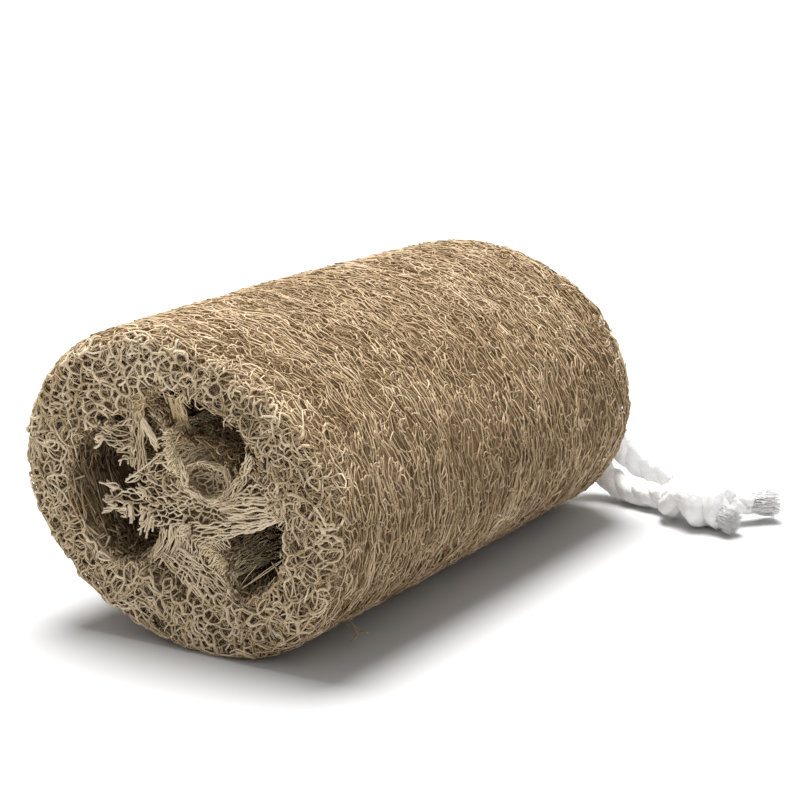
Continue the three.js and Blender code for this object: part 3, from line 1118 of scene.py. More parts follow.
def end_net(fibres, side, rng, cell, depth, rough, radius, swirl, smooth, inner):
    """A net over a cut end, open where the seed channels are, each strand cut smooth times in two."""
    span = 100
    count = int(span / cell)
    points = warped(scattered(count, count / ROW, 0.55, rng) * cell - span / 2, 1.3, swirl)
    points = points[end_share(points, side) < 1.05]
    knots, strands = net_of(points)
    share = end_share(knots, side)
    field = channel_field(*end_polar(knots), side * HALF)
    closed = (field > 0.9) & (share < 0.985) & (share > inner)
    span = np.linalg.norm(knots[strands[:, 0]] - knots[strands[:, 1]], axis=1)
    strands = strands[closed[strands].all(axis=1) & (span < 2.4 * cell)]
    deep = np.maximum(end_depth(share) + depth + rng.normal(0, rough, len(knots)), 0.15)
    rows, counts = strung(knots, strands)
    thick = radii_about(radius, 0.26, len(knots), rng)
    solid = end_point(knots, side, deep)
    path, radii = solid[rows], thick[rows]
    for step in range(smooth):
        path, counts, radii = refined(path, counts, radii, (0.12, 0.04)[step], rng)
    # The deeper the net, the lower its tone: painted shade.
    fibres.add(path, counts, radii, tones_about(0.62 - 0.05 * depth, 0.13, len(counts), rng))
    return knots[closed], solid[closed]


def end_posts(fibres, upper, lower, rng, share, radius):
    """Strands from one net of a cut end down to the next."""
    (flat, solid), (old_flat, old_solid) = upper, lower
    chosen = np.flatnonzero(rng.uniform(0, 1, len(flat)) < share)
    gap = np.linalg.norm(flat[chosen][:, None] - old_flat[None], axis=2)
    pick = np.argsort(gap, axis=1)[:, 2]
    ends = np.stack([solid[chosen], old_solid[pick]], 1)
    near = np.linalg.norm(ends[:, 0] - ends[:, 1], axis=1) < 5
    ends = ends[near].reshape(-1, 3)
    counts = np.full(int(near.sum()), 2)
    path, counts, radii = refined(ends, counts, np.full(len(ends), radius), 0.2, rng)
    # Posts get a lower tone than the top net: painted shade between the nets.
    fibres.add(path, counts, radii, tones_about(0.5, 0.15, len(counts), rng))


def end_curls(fibres, side, rng, number, length, radius, lie, deep_range):
    """Loose curved fibres over a cut end."""
    steps, outermost = 6, 0.985
    spots = end_spots(side, rng, tries=number * 4, half=44, shares=(0.6, 0.96), clear=1.25, number=number)
    number = len(spots)
    around = np.arctan2(spots[:, 1], spots[:, 0]) + math.pi / 2
    heading = around + 0.9 * lie(spots[:, 0], spots[:, 1]) + rng.normal(0, 0.6, number)
    path = curled(spots, heading, rng.uniform(*length, number), steps, 0.28, rng)
    share = end_share(path, side)
    path = path * np.where(share > outermost, outermost / share, 1)[..., None]
    arch = np.linspace(-1, 1, steps)
    deep = rng.uniform(*deep_range, (number, 1)) + rng.uniform(0.4, 1.6, (number, 1)) * arch**2
    deep = deep + rng.normal(0, 0.25, deep.shape)
    points = end_point(path, side, np.maximum(end_depth(end_share(path, side)) + deep, 0.1))
    radii = radii_about(radius, 0.3, number, rng)
    fibres.add_rows(points, radii, tones_about(0.62, 0.15, number, rng))


def end_loops(fibres, side, rng, number, radius):
    """Rings of fibre among the net of a cut end."""
    steps = 9
    spots = end_spots(side, rng, tries=number * 5, half=42, shares=(0.62, 0.93), clear=1.6, number=number)
    number = len(spots)
    turn = np.linspace(0, 1, steps) * 2 * math.pi * rng.uniform(0.75, 1.05, (number, 1))
    turn = turn + rng.uniform(0, 2 * math.pi, (number, 1))
    wide = rng.uniform(1.2, 2.6, (number, 1))
    slim = wide * rng.uniform(0.55, 1, (number, 1))
    flat = np.stack([wide * np.cos(turn), slim * np.sin(turn)], -1)
    lean = rng.uniform(0, math.pi, number)
    c, s = np.cos(lean)[:, None], np.sin(lean)[:, None]
    flat = np.stack([flat[..., 0] * c - flat[..., 1] * s, flat[..., 0] * s + flat[..., 1] * c], -1)
    flat = flat + spots[:, None]
    tilt = rng.normal(0, 0.35, (number, 1)) * np.cos(turn + rng.uniform(0, 6, (number, 1))) * wide
    points = end_point(flat, side, np.maximum(end_depth(end_share(flat, side)) + 0.3 + tilt, 0.12))
    radii = radii_about(radius, 0.2, number, rng)
    fibres.add_rows(points, radii, tones_about(0.65, 0.12, number, rng))


class LOOFAH_OT_cut_ends(bpy.types.Operator):
    """Add the open nets of the two cut ends"""

    bl_idname = "loofah.cut_ends"
    bl_label = "Cut ends"

    def execute(self, context):
        sizes = context.scene.loofah_sizes
        material = material_named("Inner fibre")
        for side, name, sides, cell, curls in ((-1, "near", 4, 1.08, 270), (1, "far", 3, 1.45, 130)):
            rng = np.random.default_rng(sizes.seed + 11 + side)
            swirl = (Ripple(rng, 24, 7), Ripple(rng, 24, 7))
            wide = sizes.end_cell * cell
            inner = 0.56 if side < 0 else 0.0
            top, low, fine = Fibres(), Fibres(), Fibres()
            first = end_net(
                top, side, rng,
                cell=wide, depth=0.3, rough=0.45, radius=0.31, swirl=swirl, smooth=2 if side < 0 else 1,
                inner=inner,
            )
            second = end_net(
                low, side, rng,
                cell=wide * 0.8, depth=1.3, rough=0.45, radius=0.25, swirl=swirl, smooth=1,
                inner=inner * 0.9,
            )
            end_posts(low, first, second, rng, share=0.5, radius=0.24)
            third = end_net(
                fine, side, rng,
                cell=wide * 0.6, depth=2.3, rough=0.35, radius=0.19, swirl=swirl, smooth=0,
                inner=inner * 0.6,
            )
            end_posts(low, second, third, rng, share=0.3, radius=0.2)
            fibre_piece(name + "_cut_end", [(top, sides), (low, 3), (fine, 3)], rng, material)
            loose = Fibres()
            lie = Ripple(rng, 30, 9)
            end_curls(
                loose, side, rng,
                number=curls, length=(5, 13), radius=0.25, lie=lie, deep_range=(-0.1, 0.9),
            )
            end_curls(
                loose, side, rng,
                number=curls, length=(3, 9), radius=0.18, lie=lie, deep_range=(1.0, 2.4),
            )
            end_loops(loose, side, rng, number=26, radius=0.27)
            rim_curls(loose, side, rng, number=460 if side < 0 else 300, radius=0.22)
            for number in range(len(CHANNELS)):
                channel_fringe(loose, number, side, rng=rng, count=150 if side < 0 else 60)
            fibre_piece(name + "_loose_fibres", [(loose, 3)], rng, material)
        return {"FINISHED"}


def channel_fringe(fibres, number, side, rng, count):
    """Short cut ends of fibres along the outer edge of a seed channel's mouth."""
    steps = 4
    t = rng.uniform(-0.1 * math.pi, 1.1 * math.pi, (count, 1)) + rng.normal(0, 0.03, (count, steps))
    share = np.linspace(0, 1, steps)
    into = rng.uniform(0.3, 2.2, (count, 1)) + rng.normal(0, 0.5, (count, 1)) * share
    rise = 1.2 - rng.uniform(1.0, 2.1, (count, 1)) * share + rng.normal(0, 0.12, (count, steps))
    points = channel_point(number, side, t, into, rise)
    radii = radii_about(0.21, 0.2, count, rng)
    fibres.add_rows(points, radii, tones_about(0.66, 0.14, count, rng))


def channel_net(fibres, number, side, stretch, rng, cell, radius, smooth):
    """A net over a seed channel's wall, over a stretch of depths from its mouth."""
    ring = channel_point(number, side, np.linspace(0, 2 * math.pi, 200), np.full(200, 8.0), 0.0)
    columns = max(8, int(line_length(ring) / cell[1]))
    knots, strands = wrapped_net(columns, int((stretch[1] - stretch[0]) / cell[0] / ROW), 0.6, rng)
    t = knots[:, 0] / columns * 2 * math.pi
    into = np.maximum(stretch[0] + knots[:, 1] * cell[0], 0.3)
    solid = channel_point(number, side, t, into, rng.normal(0.1, 0.45, len(t)))
    rows, counts = strung(solid, strands)
    thick = radii_about(radius, 0.2, len(knots), rng)
    path, radii = solid[rows], thick[rows]
    for _ in range(smooth):
        path, counts, radii = refined(path, counts, radii, 0.14, rng)
    # A lower tone than the fringe at the mouth: painted shade inside the channel.
    fibres.add(path, counts, radii, tones_about(0.45, 0.16, len(counts), rng))


def channel_curls(fibres, number, side, length, rng, count, radius):
    """Loose fibres that stand into a seed channel from its wall."""
    steps = 5
    share = np.linspace(0, 1, steps)
    t = rng.uniform(0, 2 * math.pi, (count, 1)) + rng.normal(0, 0.12, (count, 1)) * share
    t = t + rng.normal(0, 0.07, (count, steps))
    into = rng.uniform(0.5, length, (count, 1)) + rng.normal(0, 2.2, (count, 1)) * share
    into = np.maximum(into + rng.normal(0, 0.5, (count, steps)), 0.3)
    rise = 0.5 - rng.uniform(0.5, 2.2, (count, 1)) * np.sin(share * math.pi * rng.uniform(0.6, 1, (count, 1)))
    points = channel_point(number, side, t, into, rise)
    fibres.add_rows(points, radius, tones_about(0.5, 0.16, count, rng))


class LOOFAH_OT_channels(bpy.types.Operator):
    """Add the fibres that line the seed channels"""

    bl_idname = "loofah.channels"
    bl_label = "Seed channels"

    def execute(self, context):
        rng = np.random.default_rng(context.scene.loofah_sizes.seed + 23)
        # The channel fibres take colours darker than the cut ends': painted shade.
        material = material_named("Channel fibre, painted shade")
        for side, name, count in ((-1, "near", 520), (1, "far", 80)):
            lining = Fibres()
            for number in range(len(CHANNELS)):
                if side < 0:
                    channel_net(
                        lining, number, side,
                        stretch=(0.4, 15), rng=rng, cell=(1.9, 1.3), radius=0.21, smooth=1,
                    )
                    channel_net(
                        lining, number, side,
                        stretch=(15, 32), rng=rng, cell=(3.4, 2.0), radius=0.2, smooth=0,
                    )
                else:
                    channel_net(
                        lining, number, side,
                        stretch=(0.4, 16), rng=rng, cell=(3.4, 1.9), radius=0.2, smooth=0,
                    )
                channel_curls(lining, number, side, length=16, rng=rng, count=count, radius=0.2)
            fibre_piece(name + "_channel_lining", [(lining, 3)], rng, material)
        return {"FINISHED"}


def tissue_path(corners, shares):
    """Points at shares of the length of a line of given corners: across, into, up."""
    line = np.array([(x, -(HALF - into), z) for x, into, z in corners], float)
    if len(line) > 2:
        line = spline(line, 60)
    return by_length(line, shares * line_length(line))


def bundle(fibres, start, end, number, radius, bow, frizz, rng, tone=0.62, mix=0.1, steps=7, over=0.0):
    """Fibres that run from one given line to another, bowed, frizzed and a little mixed."""
    share = rng.uniform(0, 1, number)
    other = np.clip(share + rng.normal(0, mix, number), 0, 1)
    a, b = tissue_path(start, share), tissue_path(end, other)
    w = np.linspace(0, 1, steps)[None, :, None]
    reach_out = 1 + over * rng.normal(0, 1, (number, 1, 1))
    path = a[:, None] + (b - a)[:, None] * w * reach_out
    path = path + np.array(bow) * np.sin(w * math.pi)
    for wave in (1, 2, 3):
        push = rng.normal(0, frizz / wave, (number, 1, 3))
        path = path + push * np.sin(w * math.pi * (wave - 0.5 * (over > 0)))
    radii = radii_about(radius, 0.22, number, rng)
    fibres.add_rows(path, radii, tones_about(tone, 0.13, number, rng))


def ring_fibres(fibres, centre, wide, high, number, radius, frizz, rng, tone=0.72):
    """Fibres wound together as a ring that faces the cut end."""
    steps = 17
    turn = np.linspace(0, 2 * math.pi, steps) + rng.uniform(0, 2 * math.pi, (number, 1))
    grow = 1 + rng.normal(0, 0.07, (number, 1))
    dent = 1 + 0.1 * np.sin(2 * turn + rng.uniform(0, 6, (number, 1)))
    x = centre[0] + wide * grow * dent * np.cos(turn)
    z = centre[2] + high * grow * dent * np.sin(turn)
    into = centre[1] + rng.normal(0, frizz, (number, 1))
    into = into + frizz * np.sin(turn * 2 + rng.uniform(0, 6, (number, 1)))
    path = np.stack([x, into - HALF, z], -1) + rng.normal(0, frizz * 0.3, (number, steps, 3))
    radii = radii_about(radius, 0.2, number, rng)
    fibres.add_rows(path, radii, tones_about(tone, 0.1, number, rng))


def web(fibres, rng, start, end, cell, radius, tone, bow=(0, 0, 0), rough=0.2, smooth=2):
    """Tissue drawn out from one given line to another, with long holes between its fibres.
    cell is the length and the width of a hole. Its fibres are drawn thinner than the radius, most so
    at their ends, and they run on a little past both lines."""
    drawn_thin, past = 0.88, 0.1
    first = tissue_path(start, np.linspace(0, 1, 9))
    last = tissue_path(end, np.linspace(0, 1, 9))
    long = float(np.linalg.norm(last - first, axis=1).mean())
    wide = (line_length(first) + line_length(last)) / 2
    columns, rows = max(1.0, long / cell[0]), max(1.0, wide / cell[1])
    knots, strands = net_of(scattered(columns + 3, rows + 3, 0.5, rng) - 1.5)
    along, across = knots[:, 0] / columns, knots[:, 1] / rows
    kept = (along > -past) & (along < 1 + past) & (across > -0.08) & (across < 1.08)
    strands = strands[kept[strands].all(axis=1)]
    a, b = tissue_path(start, np.clip(across, 0, 1)), tissue_path(end, np.clip(across, 0, 1))
    swell_out = np.sin(np.clip(along, 0, 1) * math.pi)[:, None]
    solid = a + (b - a) * along[:, None] + np.array(bow) * swell_out
    solid = solid + rng.normal(0, rough, solid.shape)
    chain, counts = strung(np.stack([along * long, across * wide], -1), strands)
    path, radii = solid[chain], radii_about(radius * drawn_thin, 0.28, len(knots), rng)[chain]
    last_point = np.cumsum(counts) - 1
    radii[last_point] *= 0.5
    radii[last_point - counts + 1] *= 0.5
    for step in range(smooth):
        path, counts, radii = refined(path, counts, radii, (0.07, 0.03)[step], rng)
    fibres.add(path, counts, radii, tones_about(tone, 0.12, len(counts), rng))


def hollow(fibres, rng, centre, wide, high, deep, columns, radius, tone):
    """A bowl of tissue that opens towards the cut end, its lower rim wound with thick fibres."""
    for first, last in ((150, 395), (168, 385), (185, 360)):
        turn = np.radians(np.linspace(first, last, 22))
        out = 1 + rng.normal(0, 0.04, len(turn))
        into = centre[1] - HALF + rng.normal(0, 0.25, len(turn))
        rim = [centre[0] + wide * out * np.cos(turn), into, centre[2] + high * out * np.sin(turn)]
        fibres.add(np.stack(rim, -1), [len(turn)], radius * 1.4, tone + 0.15)
    knots, strands = wrapped_net(columns, 6, 0.55, rng)
    turn = knots[:, 0] / columns * 2 * math.pi
    fall = np.clip(knots[:, 1] / 4.6, 0, 1)
    shrink = np.cos(fall * math.pi / 2) + rng.normal(0, 0.05, len(turn))
    x = centre[0] - 0.15 * wide * fall + wide * shrink * np.cos(turn)
    z = centre[2] + high * shrink * np.sin(turn)
    into = centre[1] + deep * np.sin(fall * math.pi / 2) + rng.normal(0, 0.3, len(turn))
    solid = np.stack([x, into - HALF, z], -1)
    rows, counts = strung(solid, strands)
    path, counts, radii = refined(solid[rows], counts, np.full(len(rows), radius), 0.14, rng)
    fibres.add(path, counts, radii, tones_about(tone, 0.14, len(counts), rng))


class LOOFAH_OT_core(bpy.types.Operator):
    """Add the torn tissue of the core at the near cut end"""

    bl_idname = "loofah.core"
    bl_label = "Core"

    def execute(self, context):
        rng = np.random.default_rng(context.scene.loofah_sizes.seed + 31)
        pale = Fibres()
        self.left(pale, rng)
        self.middle(pale, rng)
        self.arms(pale, rng)
        self.foot(pale, rng)
        self.frays(pale, rng)
        fibre_piece("core_threads", [(pale, 4)], rng, material_named("Inner fibre"))
        # The torn sheets take a paler finish than the threads: painted light.
        tan = Fibres()
        self.flaps(tan, rng)
        fibre_piece("core_sheets", [(tan, 3)], rng, material_named("Flap fibre, painted light"))
        return {"FINISHED"}

    def left(self, fibres, rng):
        """The tissue between the left channel and the upper one."""
        top, foot = ((-14.2, 3.4, 52.5), (-10.8, 3.6, 52.8)), ((-15.2, 5, 38.6), (-11.2, 5, 37.4))
        web(
            fibres, rng, top, foot,
            cell=(3.8, 0.7), radius=0.27, tone=0.76, bow=(-0.6, 0.4, 0), rough=0.14,
        )
        # A second layer bowed further in, with a lower tone: painted shade.
        web(fibres, rng, top, foot, cell=(2.2, 1.0), radius=0.2, tone=0.5, bow=(-0.3, 1.8, 0))
        strap = ((-13.2, 3.8, 51.4), (-12.1, 3.8, 52.0)), ((-8.9, 5, 43.0), (-7.4, 5, 44.2))
        web(
            fibres, rng, *strap,
            cell=(4.0, 0.32), radius=0.32, tone=0.95, bow=(0.4, 0.2, -0.8), rough=0.06,
        )
        rim = ((-15.0, 1.0, 57.6), (-6.8, 1.6, 57.2))
        web(
            fibres, rng, rim, ((-15.4, 3.2, 49.0), (-11.4, 3.4, 49.4)),
            cell=(2.4, 1.1), radius=0.24, tone=0.68, bow=(0, 0.6, 0),
        )
        # Layers set further back get lower tones: painted shade.
        web(
            fibres, rng, ((-15.5, 8, 52.5), (-6.0, 8, 54.2)), ((-13.8, 8, 40.0), (-6.6, 9, 42.6)),
            cell=(2.8, 1.4), radius=0.17, tone=0.4, bow=(0, 1.6, 0), rough=0.6,
        )
        web(
            fibres, rng, ((-15.5, 12, 52.5), (-6.0, 12, 54.2)), ((-13.8, 11, 40.0), (-6.6, 12, 42.6)),
            cell=(2.0, 1.2), radius=0.17, tone=0.3, bow=(0, 1.6, 0), rough=0.6, smooth=1,
        )
        web(
            fibres, rng, ((-20.4, 1.8, 48.2), (-21.0, 2.3, 44.0)),
            ((-13.2, 3.2, 50.0), (-14.0, 3.6, 43.0)),
            cell=(3.4, 0.8), radius=0.2, tone=0.82, bow=(0, -0.6, -0.8), rough=0.35,
        )

    def middle(self, fibres, rng):
        """The star of threads, the two bowls and the band under them."""
        web(
            fibres, rng, ((-13.0, 5, 38.9), (-11.2, 5, 34.2)), ((-6.5, 5.5, 42.8), (-5.8, 5.5, 38.0)),
            cell=(2.0, 1.2), radius=0.21, tone=0.7, bow=(0, 0.4, 0),
        )
        web(
            fibres, rng, ((-7.0, 5.5, 43.4), (-5.8, 5.5, 38.0)), ((-2.9, 5, 43.4), (-1.2, 5, 37.4)),
            cell=(1.9, 1.0), radius=0.22, tone=0.7, bow=(0, 0.3, 0),
        )
        hollow(
            fibres, rng, (-4.4, 5, 35.6),
            wide=2.3, high=2.5, deep=2.6, columns=7, radius=0.19, tone=0.55,
        )
        hollow(
            fibres, rng, (4.4, 5.2, 37.6),
            wide=6.3, high=4.0, deep=4.6, columns=13, radius=0.21, tone=0.75,
        )
        # The same bowl set further back, with a lower tone: painted shade.
        hollow(
            fibres, rng, (4.4, 6.4, 37.6),
            wide=6.0, high=3.8, deep=5.0, columns=13, radius=0.18, tone=0.55,
        )
        for start, end, tone in (
            (((-2.6, 4.6, 42.6), (-1.2, 4.8, 42.0)), ((-0.8, 4.6, 34.8), (0.8, 4.8, 35.6)), 0.85),
            (((-0.8, 4.6, 35.2), (0.4, 4.8, 36.0)), ((5.4, 4.6, 32.2), (5.6, 4.8, 33.6)), 0.85),
            (((5.4, 4.6, 32.2), (5.6, 4.8, 33.6)), ((12.0, 4.2, 34.0), (9.8, 4.4, 35.6)), 0.8),
            (((17.0, 2.8, 47.0), (18.8, 2.6, 45.2)), ((13.5, 4, 40.4), (16.0, 3.8, 39.4)), 0.75),
            (((13.5, 4, 40.4), (16.0, 3.8, 39.4)), ((9.2, 4.4, 35.6), (12.2, 4.2, 34.0)), 0.75),
            (((9.4, 5.4, 41.8), (10.4, 5.4, 41.0)), ((10.6, 4.6, 36.4), (12.2, 4.6, 36.8)), 0.7),
            (((3.0, 5.8, 42.2), (3.2, 6.0, 41.0)), ((9.8, 5.4, 41.8), (10.0, 5.4, 40.8)), 0.6),
        ):
            web(fibres, rng, start, end, cell=(2.6, 0.45), radius=0.25, tone=tone, rough=0.16)
        web(
            fibres, rng, ((-12.6, 4.8, 38.4), (-10.2, 4.4, 30.4)), ((0.3, 5.2, 36.2), (3.2, 5, 30.8)),
            cell=(2.4, 1.5), radius=0.26, tone=0.74, bow=(0, 0.4, -0.5),
        )
        # A second layer set further back, with a lower tone: painted shade.
        web(
            fibres, rng, ((-12.4, 6, 38.1), (-10.1, 5.8, 30.8)), ((0.5, 6.8, 35.9), (3.4, 6.4, 31.1)),
            cell=(1.8, 1.1), radius=0.18, tone=0.45, bow=(0, 0.6, -0.5),
        )
        web(
            fibres, rng, ((-2.6, 4.8, 33.2), (-0.8, 4.4, 26.6)), ((9.6, 4.4, 35.2), (11.0, 4, 30.0)),
            cell=(2.4, 1.6), radius=0.25, tone=0.72, bow=(0, 0.3, 0),
        )
        # A second layer set further back, with a lower tone: painted shade.
        web(
            fibres, rng, ((-2.4, 6.4, 32.9), (-0.6, 6, 27.0)), ((9.6, 6, 35.0), (10.9, 5.6, 30.4)),
            cell=(1.8, 1.2), radius=0.18, tone=0.42, bow=(0, 0.6, 0),
        )
        bundle(
            fibres, ((-15.2, 2.6, 35.2),) * 2, ((-5.8, 4.4, 43.0),) * 2,
            number=1, radius=0.2, bow=(0, 0, 0), frizz=0.05, rng=rng, tone=0.9,
        )

    def arms(self, fibres, rng):
        """The drawn-out bands from the middle to the right-hand wall."""
        upper = ((9.4, 4, 34.8), (10.5, 3.8, 32.5), (11.2, 3.8, 30.2))
        wall = ((26.3, 1.3, 38.6), (27.1, 1.3, 36.0), (26.6, 1.4, 33.7))
        web(
            fibres, rng, upper, wall,
            cell=(5.5, 0.62), radius=0.27, tone=0.85, bow=(0, 0.5, 0), rough=0.1,
        )
        # A second layer bowed further in, with a lower tone: painted shade.
        web(fibres, rng, upper, wall, cell=(4.5, 0.8), radius=0.22, tone=0.6, bow=(0, 1.2, 0), rough=0.15)
        web(
            fibres, rng, ((12.2, 4.2, 35.2), (10.0, 3.8, 33.6)), ((23.0, 2.3, 44.2), (26.8, 1.3, 38.0)),
            cell=(2.4, 1.5), radius=0.25, tone=0.74, bow=(0, 0.6, 0),
        )
        # A second layer set further back, with a lower tone: painted shade.
        web(
            fibres, rng, ((12.2, 5.4, 35.2), (10.0, 5, 33.6)), ((22.5, 3.6, 44.2), (26.4, 2.7, 38.0)),
            cell=(1.8, 1.1), radius=0.18, tone=0.45, bow=(0, 0.6, 0),
        )
        tips = ((1.8, 3.3, 28.6), (1.4, 3.3, 25.5), (4.0, 3.6, 23.4))
        crook = ((12.0, 3.3, 30.2), (12.6, 3.4, 28.4), (12.0, 3.8, 26.8))
        web(fibres, rng, tips, crook, cell=(4.0, 0.75), radius=0.26, tone=0.88, rough=0.14)
        root = ((24.5, 1.7, 33.9), (25.0, 1.8, 33.3), (24.5, 2.0, 32.6))
        web(
            fibres, rng, crook, root,
            cell=(5.0, 0.45), radius=0.28, tone=0.88, bow=(0, 0.2, -0.4), rough=0.08,
        )
        web(
            fibres, rng, ((3.3, 3.8, 24.8), (10.0, 3.6, 28.0)), ((6.6, 5.3, 21.6), (10.6, 6, 24.2)),
            cell=(2.4, 0.7), radius=0.23, tone=0.84, bow=(0, -0.3, 0), rough=0.15,
        )
        bundle(
            fibres, tips[:2], ((-1.0, 2.6, 27.8), (0.2, 2.8, 24.2)),
            number=16, radius=0.2, bow=(0, -0.4, 0), frizz=0.5, rng=rng, tone=0.85, over=0.3,
        )
        bundle(
            fibres, ((14.0, 3.0, 15.2),) * 2, ((26.3, 2.6, 24.8),) * 2,
            number=2, radius=0.13, bow=(0, 0, -0.2), frizz=0.15, rng=rng, tone=0.7,
        )
        bundle(
            fibres, ((13.6, 4.0, 15.6),) * 2, ((17.6, 5.0, 21.2),) * 2,
            number=1, radius=0.13, bow=(0, 0, 0), frizz=0.1, rng=rng, tone=0.7,
        )

    def foot(self, fibres, rng):
        """The bands that run down from the middle to the lower wall."""
        web(
            fibres, rng, ((-7.6, 4.8, 26.4), (-0.9, 4.4, 26.8)), ((-10.2, 3.2, 18.4), (-3.6, 2.8, 17.6)),
            cell=(4.4, 0.6), radius=0.27, tone=0.78, bow=(1.0, 0.6, 0), rough=0.1,
        )
        web(
            fibres, rng, ((-1.3, 4.4, 27.0), (3.3, 4.4, 23.6)), ((-1.8, 2.3, 15.2), (5.2, 2.3, 14.8)),
            cell=(2.6, 1.1), radius=0.25, tone=0.74, bow=(0.4, 0.6, 0),
        )
        # A second layer set further back, with a lower tone: painted shade.
        web(
            fibres, rng, ((-7.6, 5.8, 26.4), (3.3, 5.6, 24.6)), ((-8.0, 4.2, 16.4), (5.2, 3.6, 14.0)),
            cell=(2.0, 1.1), radius=0.19, tone=0.45, bow=(0, 0.6, 0),
        )
        web(
            fibres, rng, ((-6.4, 2.8, 19.0), (-0.5, 3.6, 21.6)), ((8.1, 1.3, 9.4), (16.8, 2.3, 13.4)),
            cell=(4.4, 0.95), radius=0.25, tone=0.76, bow=(0, 0.4, 0.4), rough=0.15,
        )
        web(
            fibres, rng, ((2.2, 4.8, 23.4), (6.8, 5.4, 22.2)), ((10.4, 4.4, 13.6), (14.8, 3.8, 15.4)),
            cell=(3.0, 0.9), radius=0.22, tone=0.6, bow=(-0.6, 0.8, 0),
        )
        hollow(
            fibres, rng, (6.6, 3.4, 16.6),
            wide=1.7, high=1.5, deep=2.0, columns=6, radius=0.2, tone=0.6,
        )

    def frays(self, fibres, rng):
        """Torn tips along the left channel."""
        web(
            fibres, rng, ((-19.4, 3.8, 33.2), (-20.0, 3.8, 27.8)),
            ((-10.4, 4.8, 34.2), (-10.0, 4.6, 28.4)),
            cell=(2.4, 1.2), radius=0.26, tone=0.84, bow=(0, 0.4, -0.4), rough=0.3,
        )
        web(
            fibres, rng, ((-10.3, 4.4, 30.4), (-9.6, 4.4, 25.8)), ((-1.8, 4.8, 32.7), (-0.6, 4.4, 26.6)),
            cell=(2.0, 1.3), radius=0.25, tone=0.76, bow=(0, 0.2, 0),
        )
        for spot, peak in (
            ((-18.8, 3.8, 32.6), (-21.0, 3.0, 33.4)), ((-19.0, 3.8, 30.8), (-21.4, 3.0, 30.6)),
            ((-18.8, 3.8, 28.8), (-20.8, 3.0, 27.8)), ((-16.8, 4.0, 28.6), (-17.6, 3.4, 26.8)),
            ((-14.4, 4.2, 28.6), (-14.8, 3.6, 26.6)), ((-11.6, 4.4, 28.4), (-12.2, 3.8, 26.6)),
            ((-9.9, 4.4, 27.4), (-11.6, 3.8, 26.0)), ((-9.0, 4.4, 26.2), (-10.0, 3.8, 24.6)),
            ((-14.4, 4.8, 40.2), (-16.6, 4.0, 39.4)), ((-13.2, 4.8, 37.2), (-15.0, 4.2, 35.8)),
            ((-11.6, 4.8, 35.0), (-13.0, 4.2, 33.4)), ((-14.9, 4.6, 43.8), (-16.4, 4.0, 42.6)),
            ((-14.0, 3.4, 44.6), (-16.6, 2.6, 42.8)), ((-20.4, 2.2, 45.0), (-22.4, 1.6, 43.6)),
        ):
            wide = tuple(np.array(spot) + rng.normal(0, 0.9, 3))
            near = tuple(np.array(peak) + rng.normal(0, 0.5, 3))
            bow = rng.normal(0, 0.5, 3)
            bundle(
                fibres, (spot, wide), (peak, near),
                number=6, radius=0.24, bow=bow, frizz=0.5, rng=rng, tone=0.84, over=0.25,
            )
        ring_fibres(
            fibres, (-32.4, 0.9, 45.0),
            wide=3.0, high=3.4, number=1, radius=0.27, frizz=0.2, rng=rng,
        )

    def flaps(self, fibres, rng):
        """Sheets of finer tissue that run back into the channels. Their finish is paler than the other fibres
        of the cut end, painted light for sheets that lie in shade, and their layers further back get lower
        tones, painted shade.
        """
        front = ((-4.2, 4.6, 48.0), (-3.6, 4.2, 44.7), (-2.8, 4.3, 41.6), (-1.6, 4.8, 38.4))
        back = ((-3.4, 24, 47.4), (-1.4, 26, 45.2), (1.8, 24, 42.8), (5.4, 16, 41.0))
        # Each layer set further back gets a lower tone: painted shade.
        for depth, cell, tone in ((0.0, (3.0, 0.6), 1.0), (0.9, (2.4, 0.8), 0.9)):
            set_back = [(x + depth * 0.3, into + depth, z - depth * 0.5) for x, into, z in front]
            web(
                fibres, rng, set_back, back,
                cell=cell, radius=0.19, tone=tone, bow=(0, 0, 1.4), rough=0.35, smooth=1,
            )
        lip = ((-5.4, 3.4, 47.4), (-4.6, 3.2, 44.4), (-3.8, 3.4, 41.2), (-2.6, 4.0, 38.2))
        bundle(
            fibres, front, lip,
            number=80, radius=0.22, bow=(0, 0, 0.3), frizz=0.6, rng=rng, tone=1.0, mix=0.06, steps=5,
            over=0.3,
        )
        # These run further back and get lower tones: painted shade.
        strap = ((-5.4, 5.6, 56.0), (-3.2, 6.6, 55.6)), ((-4.9, 8.6, 46.0), (-2.4, 10, 46.6))
        web(fibres, rng, *strap, cell=(4.0, 0.4), radius=0.32, tone=0.35, rough=0.06)
        web(
            fibres, rng, ((-8.2, 3, 56.8), (0.6, 3, 56.8)), ((-9.4, 9, 50.4), (-3.5, 9, 51.2)),
            cell=(2.4, 1.3), radius=0.2, tone=0.6, bow=(0, 1.5, 0), rough=0.4,
        )
        wall = ((-2.0, 9, 45.5), (4.0, 9, 45.5), (10.0, 8.5, 43.5), (14.5, 8, 40.0))
        back = ((-2.0, 34, 44.5), (5.0, 34, 44.0), (10.5, 34, 42.0), (15.5, 34, 38.5))
        web(
            fibres, rng, wall, back,
            cell=(3.4, 1.0), radius=0.18, tone=0.45, bow=(0, 0, 0.4), rough=0.5, smooth=1,
        )
        front = ((5.8, 5.2, 24.0), (8.1, 5.2, 21.6), (10.2, 5.3, 19.4), (12.0, 5.8, 17.6))
        back = ((9.6, 26, 26.5), (13.0, 27, 24.6), (16.0, 27, 22.0), (18.0, 24, 19.6))
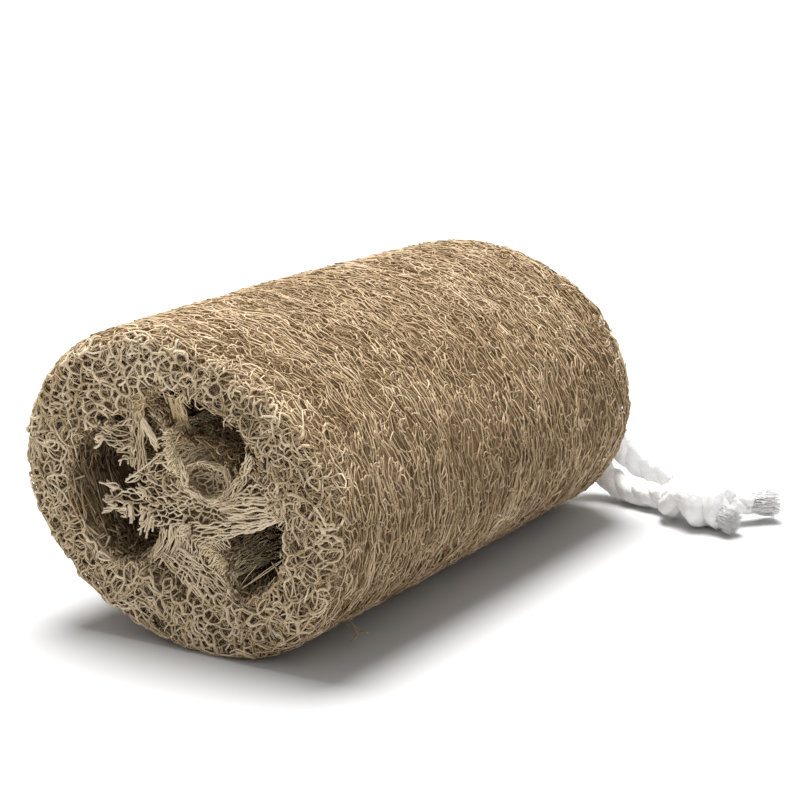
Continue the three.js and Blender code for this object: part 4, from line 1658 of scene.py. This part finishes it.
        # Each layer set further back gets a lower tone: painted shade.
        for depth, cell, tone in ((0.0, (3.2, 0.55), 0.85), (0.8, (2.4, 0.8), 0.65)):
            set_back = [(x - depth * 0.4, into + depth, z - depth * 0.4) for x, into, z in front]
            web(
                fibres, rng, set_back, back,
                cell=cell, radius=0.17, tone=tone, bow=(0, 0, 0.8), rough=0.25, smooth=1,
            )
        lip = ((4.8, 3.8, 23.0), (7.4, 3.8, 20.2), (9.6, 4.0, 18.2), (11.6, 4.6, 16.6))
        bundle(
            fibres, front, lip,
            number=90, radius=0.2, bow=(0, 0, 0.2), frizz=0.5, rng=rng, tone=1.0, mix=0.05, steps=5,
            over=0.35,
        )
        patch = ((-14.2, 2.4, 56.0), (-8.2, 2.4, 56.6))
        under = ((-13.2, 3.0, 51.6), (-9.2, 3.0, 53.2))
        web(
            fibres, rng, patch, under,
            cell=(1.6, 0.3), radius=0.26, tone=0.1, bow=(0, 0.2, 0), rough=0.06,
        )


class LOOFAH_PT_panel(bpy.types.Panel):
    """The loofah's settings, and its pieces in the order in which they are made"""

    bl_label = "Loofah sponge"
    bl_idname = "LOOFAH_PT_panel"
    bl_space_type = "VIEW_3D"
    bl_region_type = "UI"
    bl_category = "Loofah"

    def draw(self, context):
        scene = context.scene
        for group in (scene.loofah_sizes, scene.loofah_colours, scene.loofah_cord, scene.loofah_stage):
            box = self.layout.box()
            for name in group.__annotations__:
                box.prop(group, name)
        for operator in OPERATORS:
            self.layout.operator(operator.bl_idname)


GROUPS = (LoofahColours, LoofahSizes, CordSizes, StageSettings)
OPERATORS = (
    LOOFAH_OT_stage,
    LOOFAH_OT_cord,
    LOOFAH_OT_under_layer,
    LOOFAH_OT_skin,
    LOOFAH_OT_cut_ends,
    LOOFAH_OT_channels,
    LOOFAH_OT_core,
)


def register():
    for item in (*GROUPS, *OPERATORS, LOOFAH_PT_panel):
        bpy.utils.register_class(item)
    bpy.types.Scene.loofah_colours = PointerProperty(type=LoofahColours)
    bpy.types.Scene.loofah_sizes = PointerProperty(type=LoofahSizes)
    bpy.types.Scene.loofah_cord = PointerProperty(type=CordSizes)
    bpy.types.Scene.loofah_stage = PointerProperty(type=StageSettings)


def unregister():
    for name in ("loofah_stage", "loofah_cord", "loofah_sizes", "loofah_colours"):
        delattr(bpy.types.Scene, name)
    for item in reversed((*GROUPS, *OPERATORS, LOOFAH_PT_panel)):
        bpy.utils.unregister_class(item)


def main():
    register()
    bpy.ops.loofah.stage()
    bpy.ops.loofah.cord()
    bpy.ops.loofah.under_layer()
    bpy.ops.loofah.skin()
    bpy.ops.loofah.cut_ends()
    bpy.ops.loofah.channels()
    bpy.ops.loofah.core()


if __name__ == "__main__":
    main()
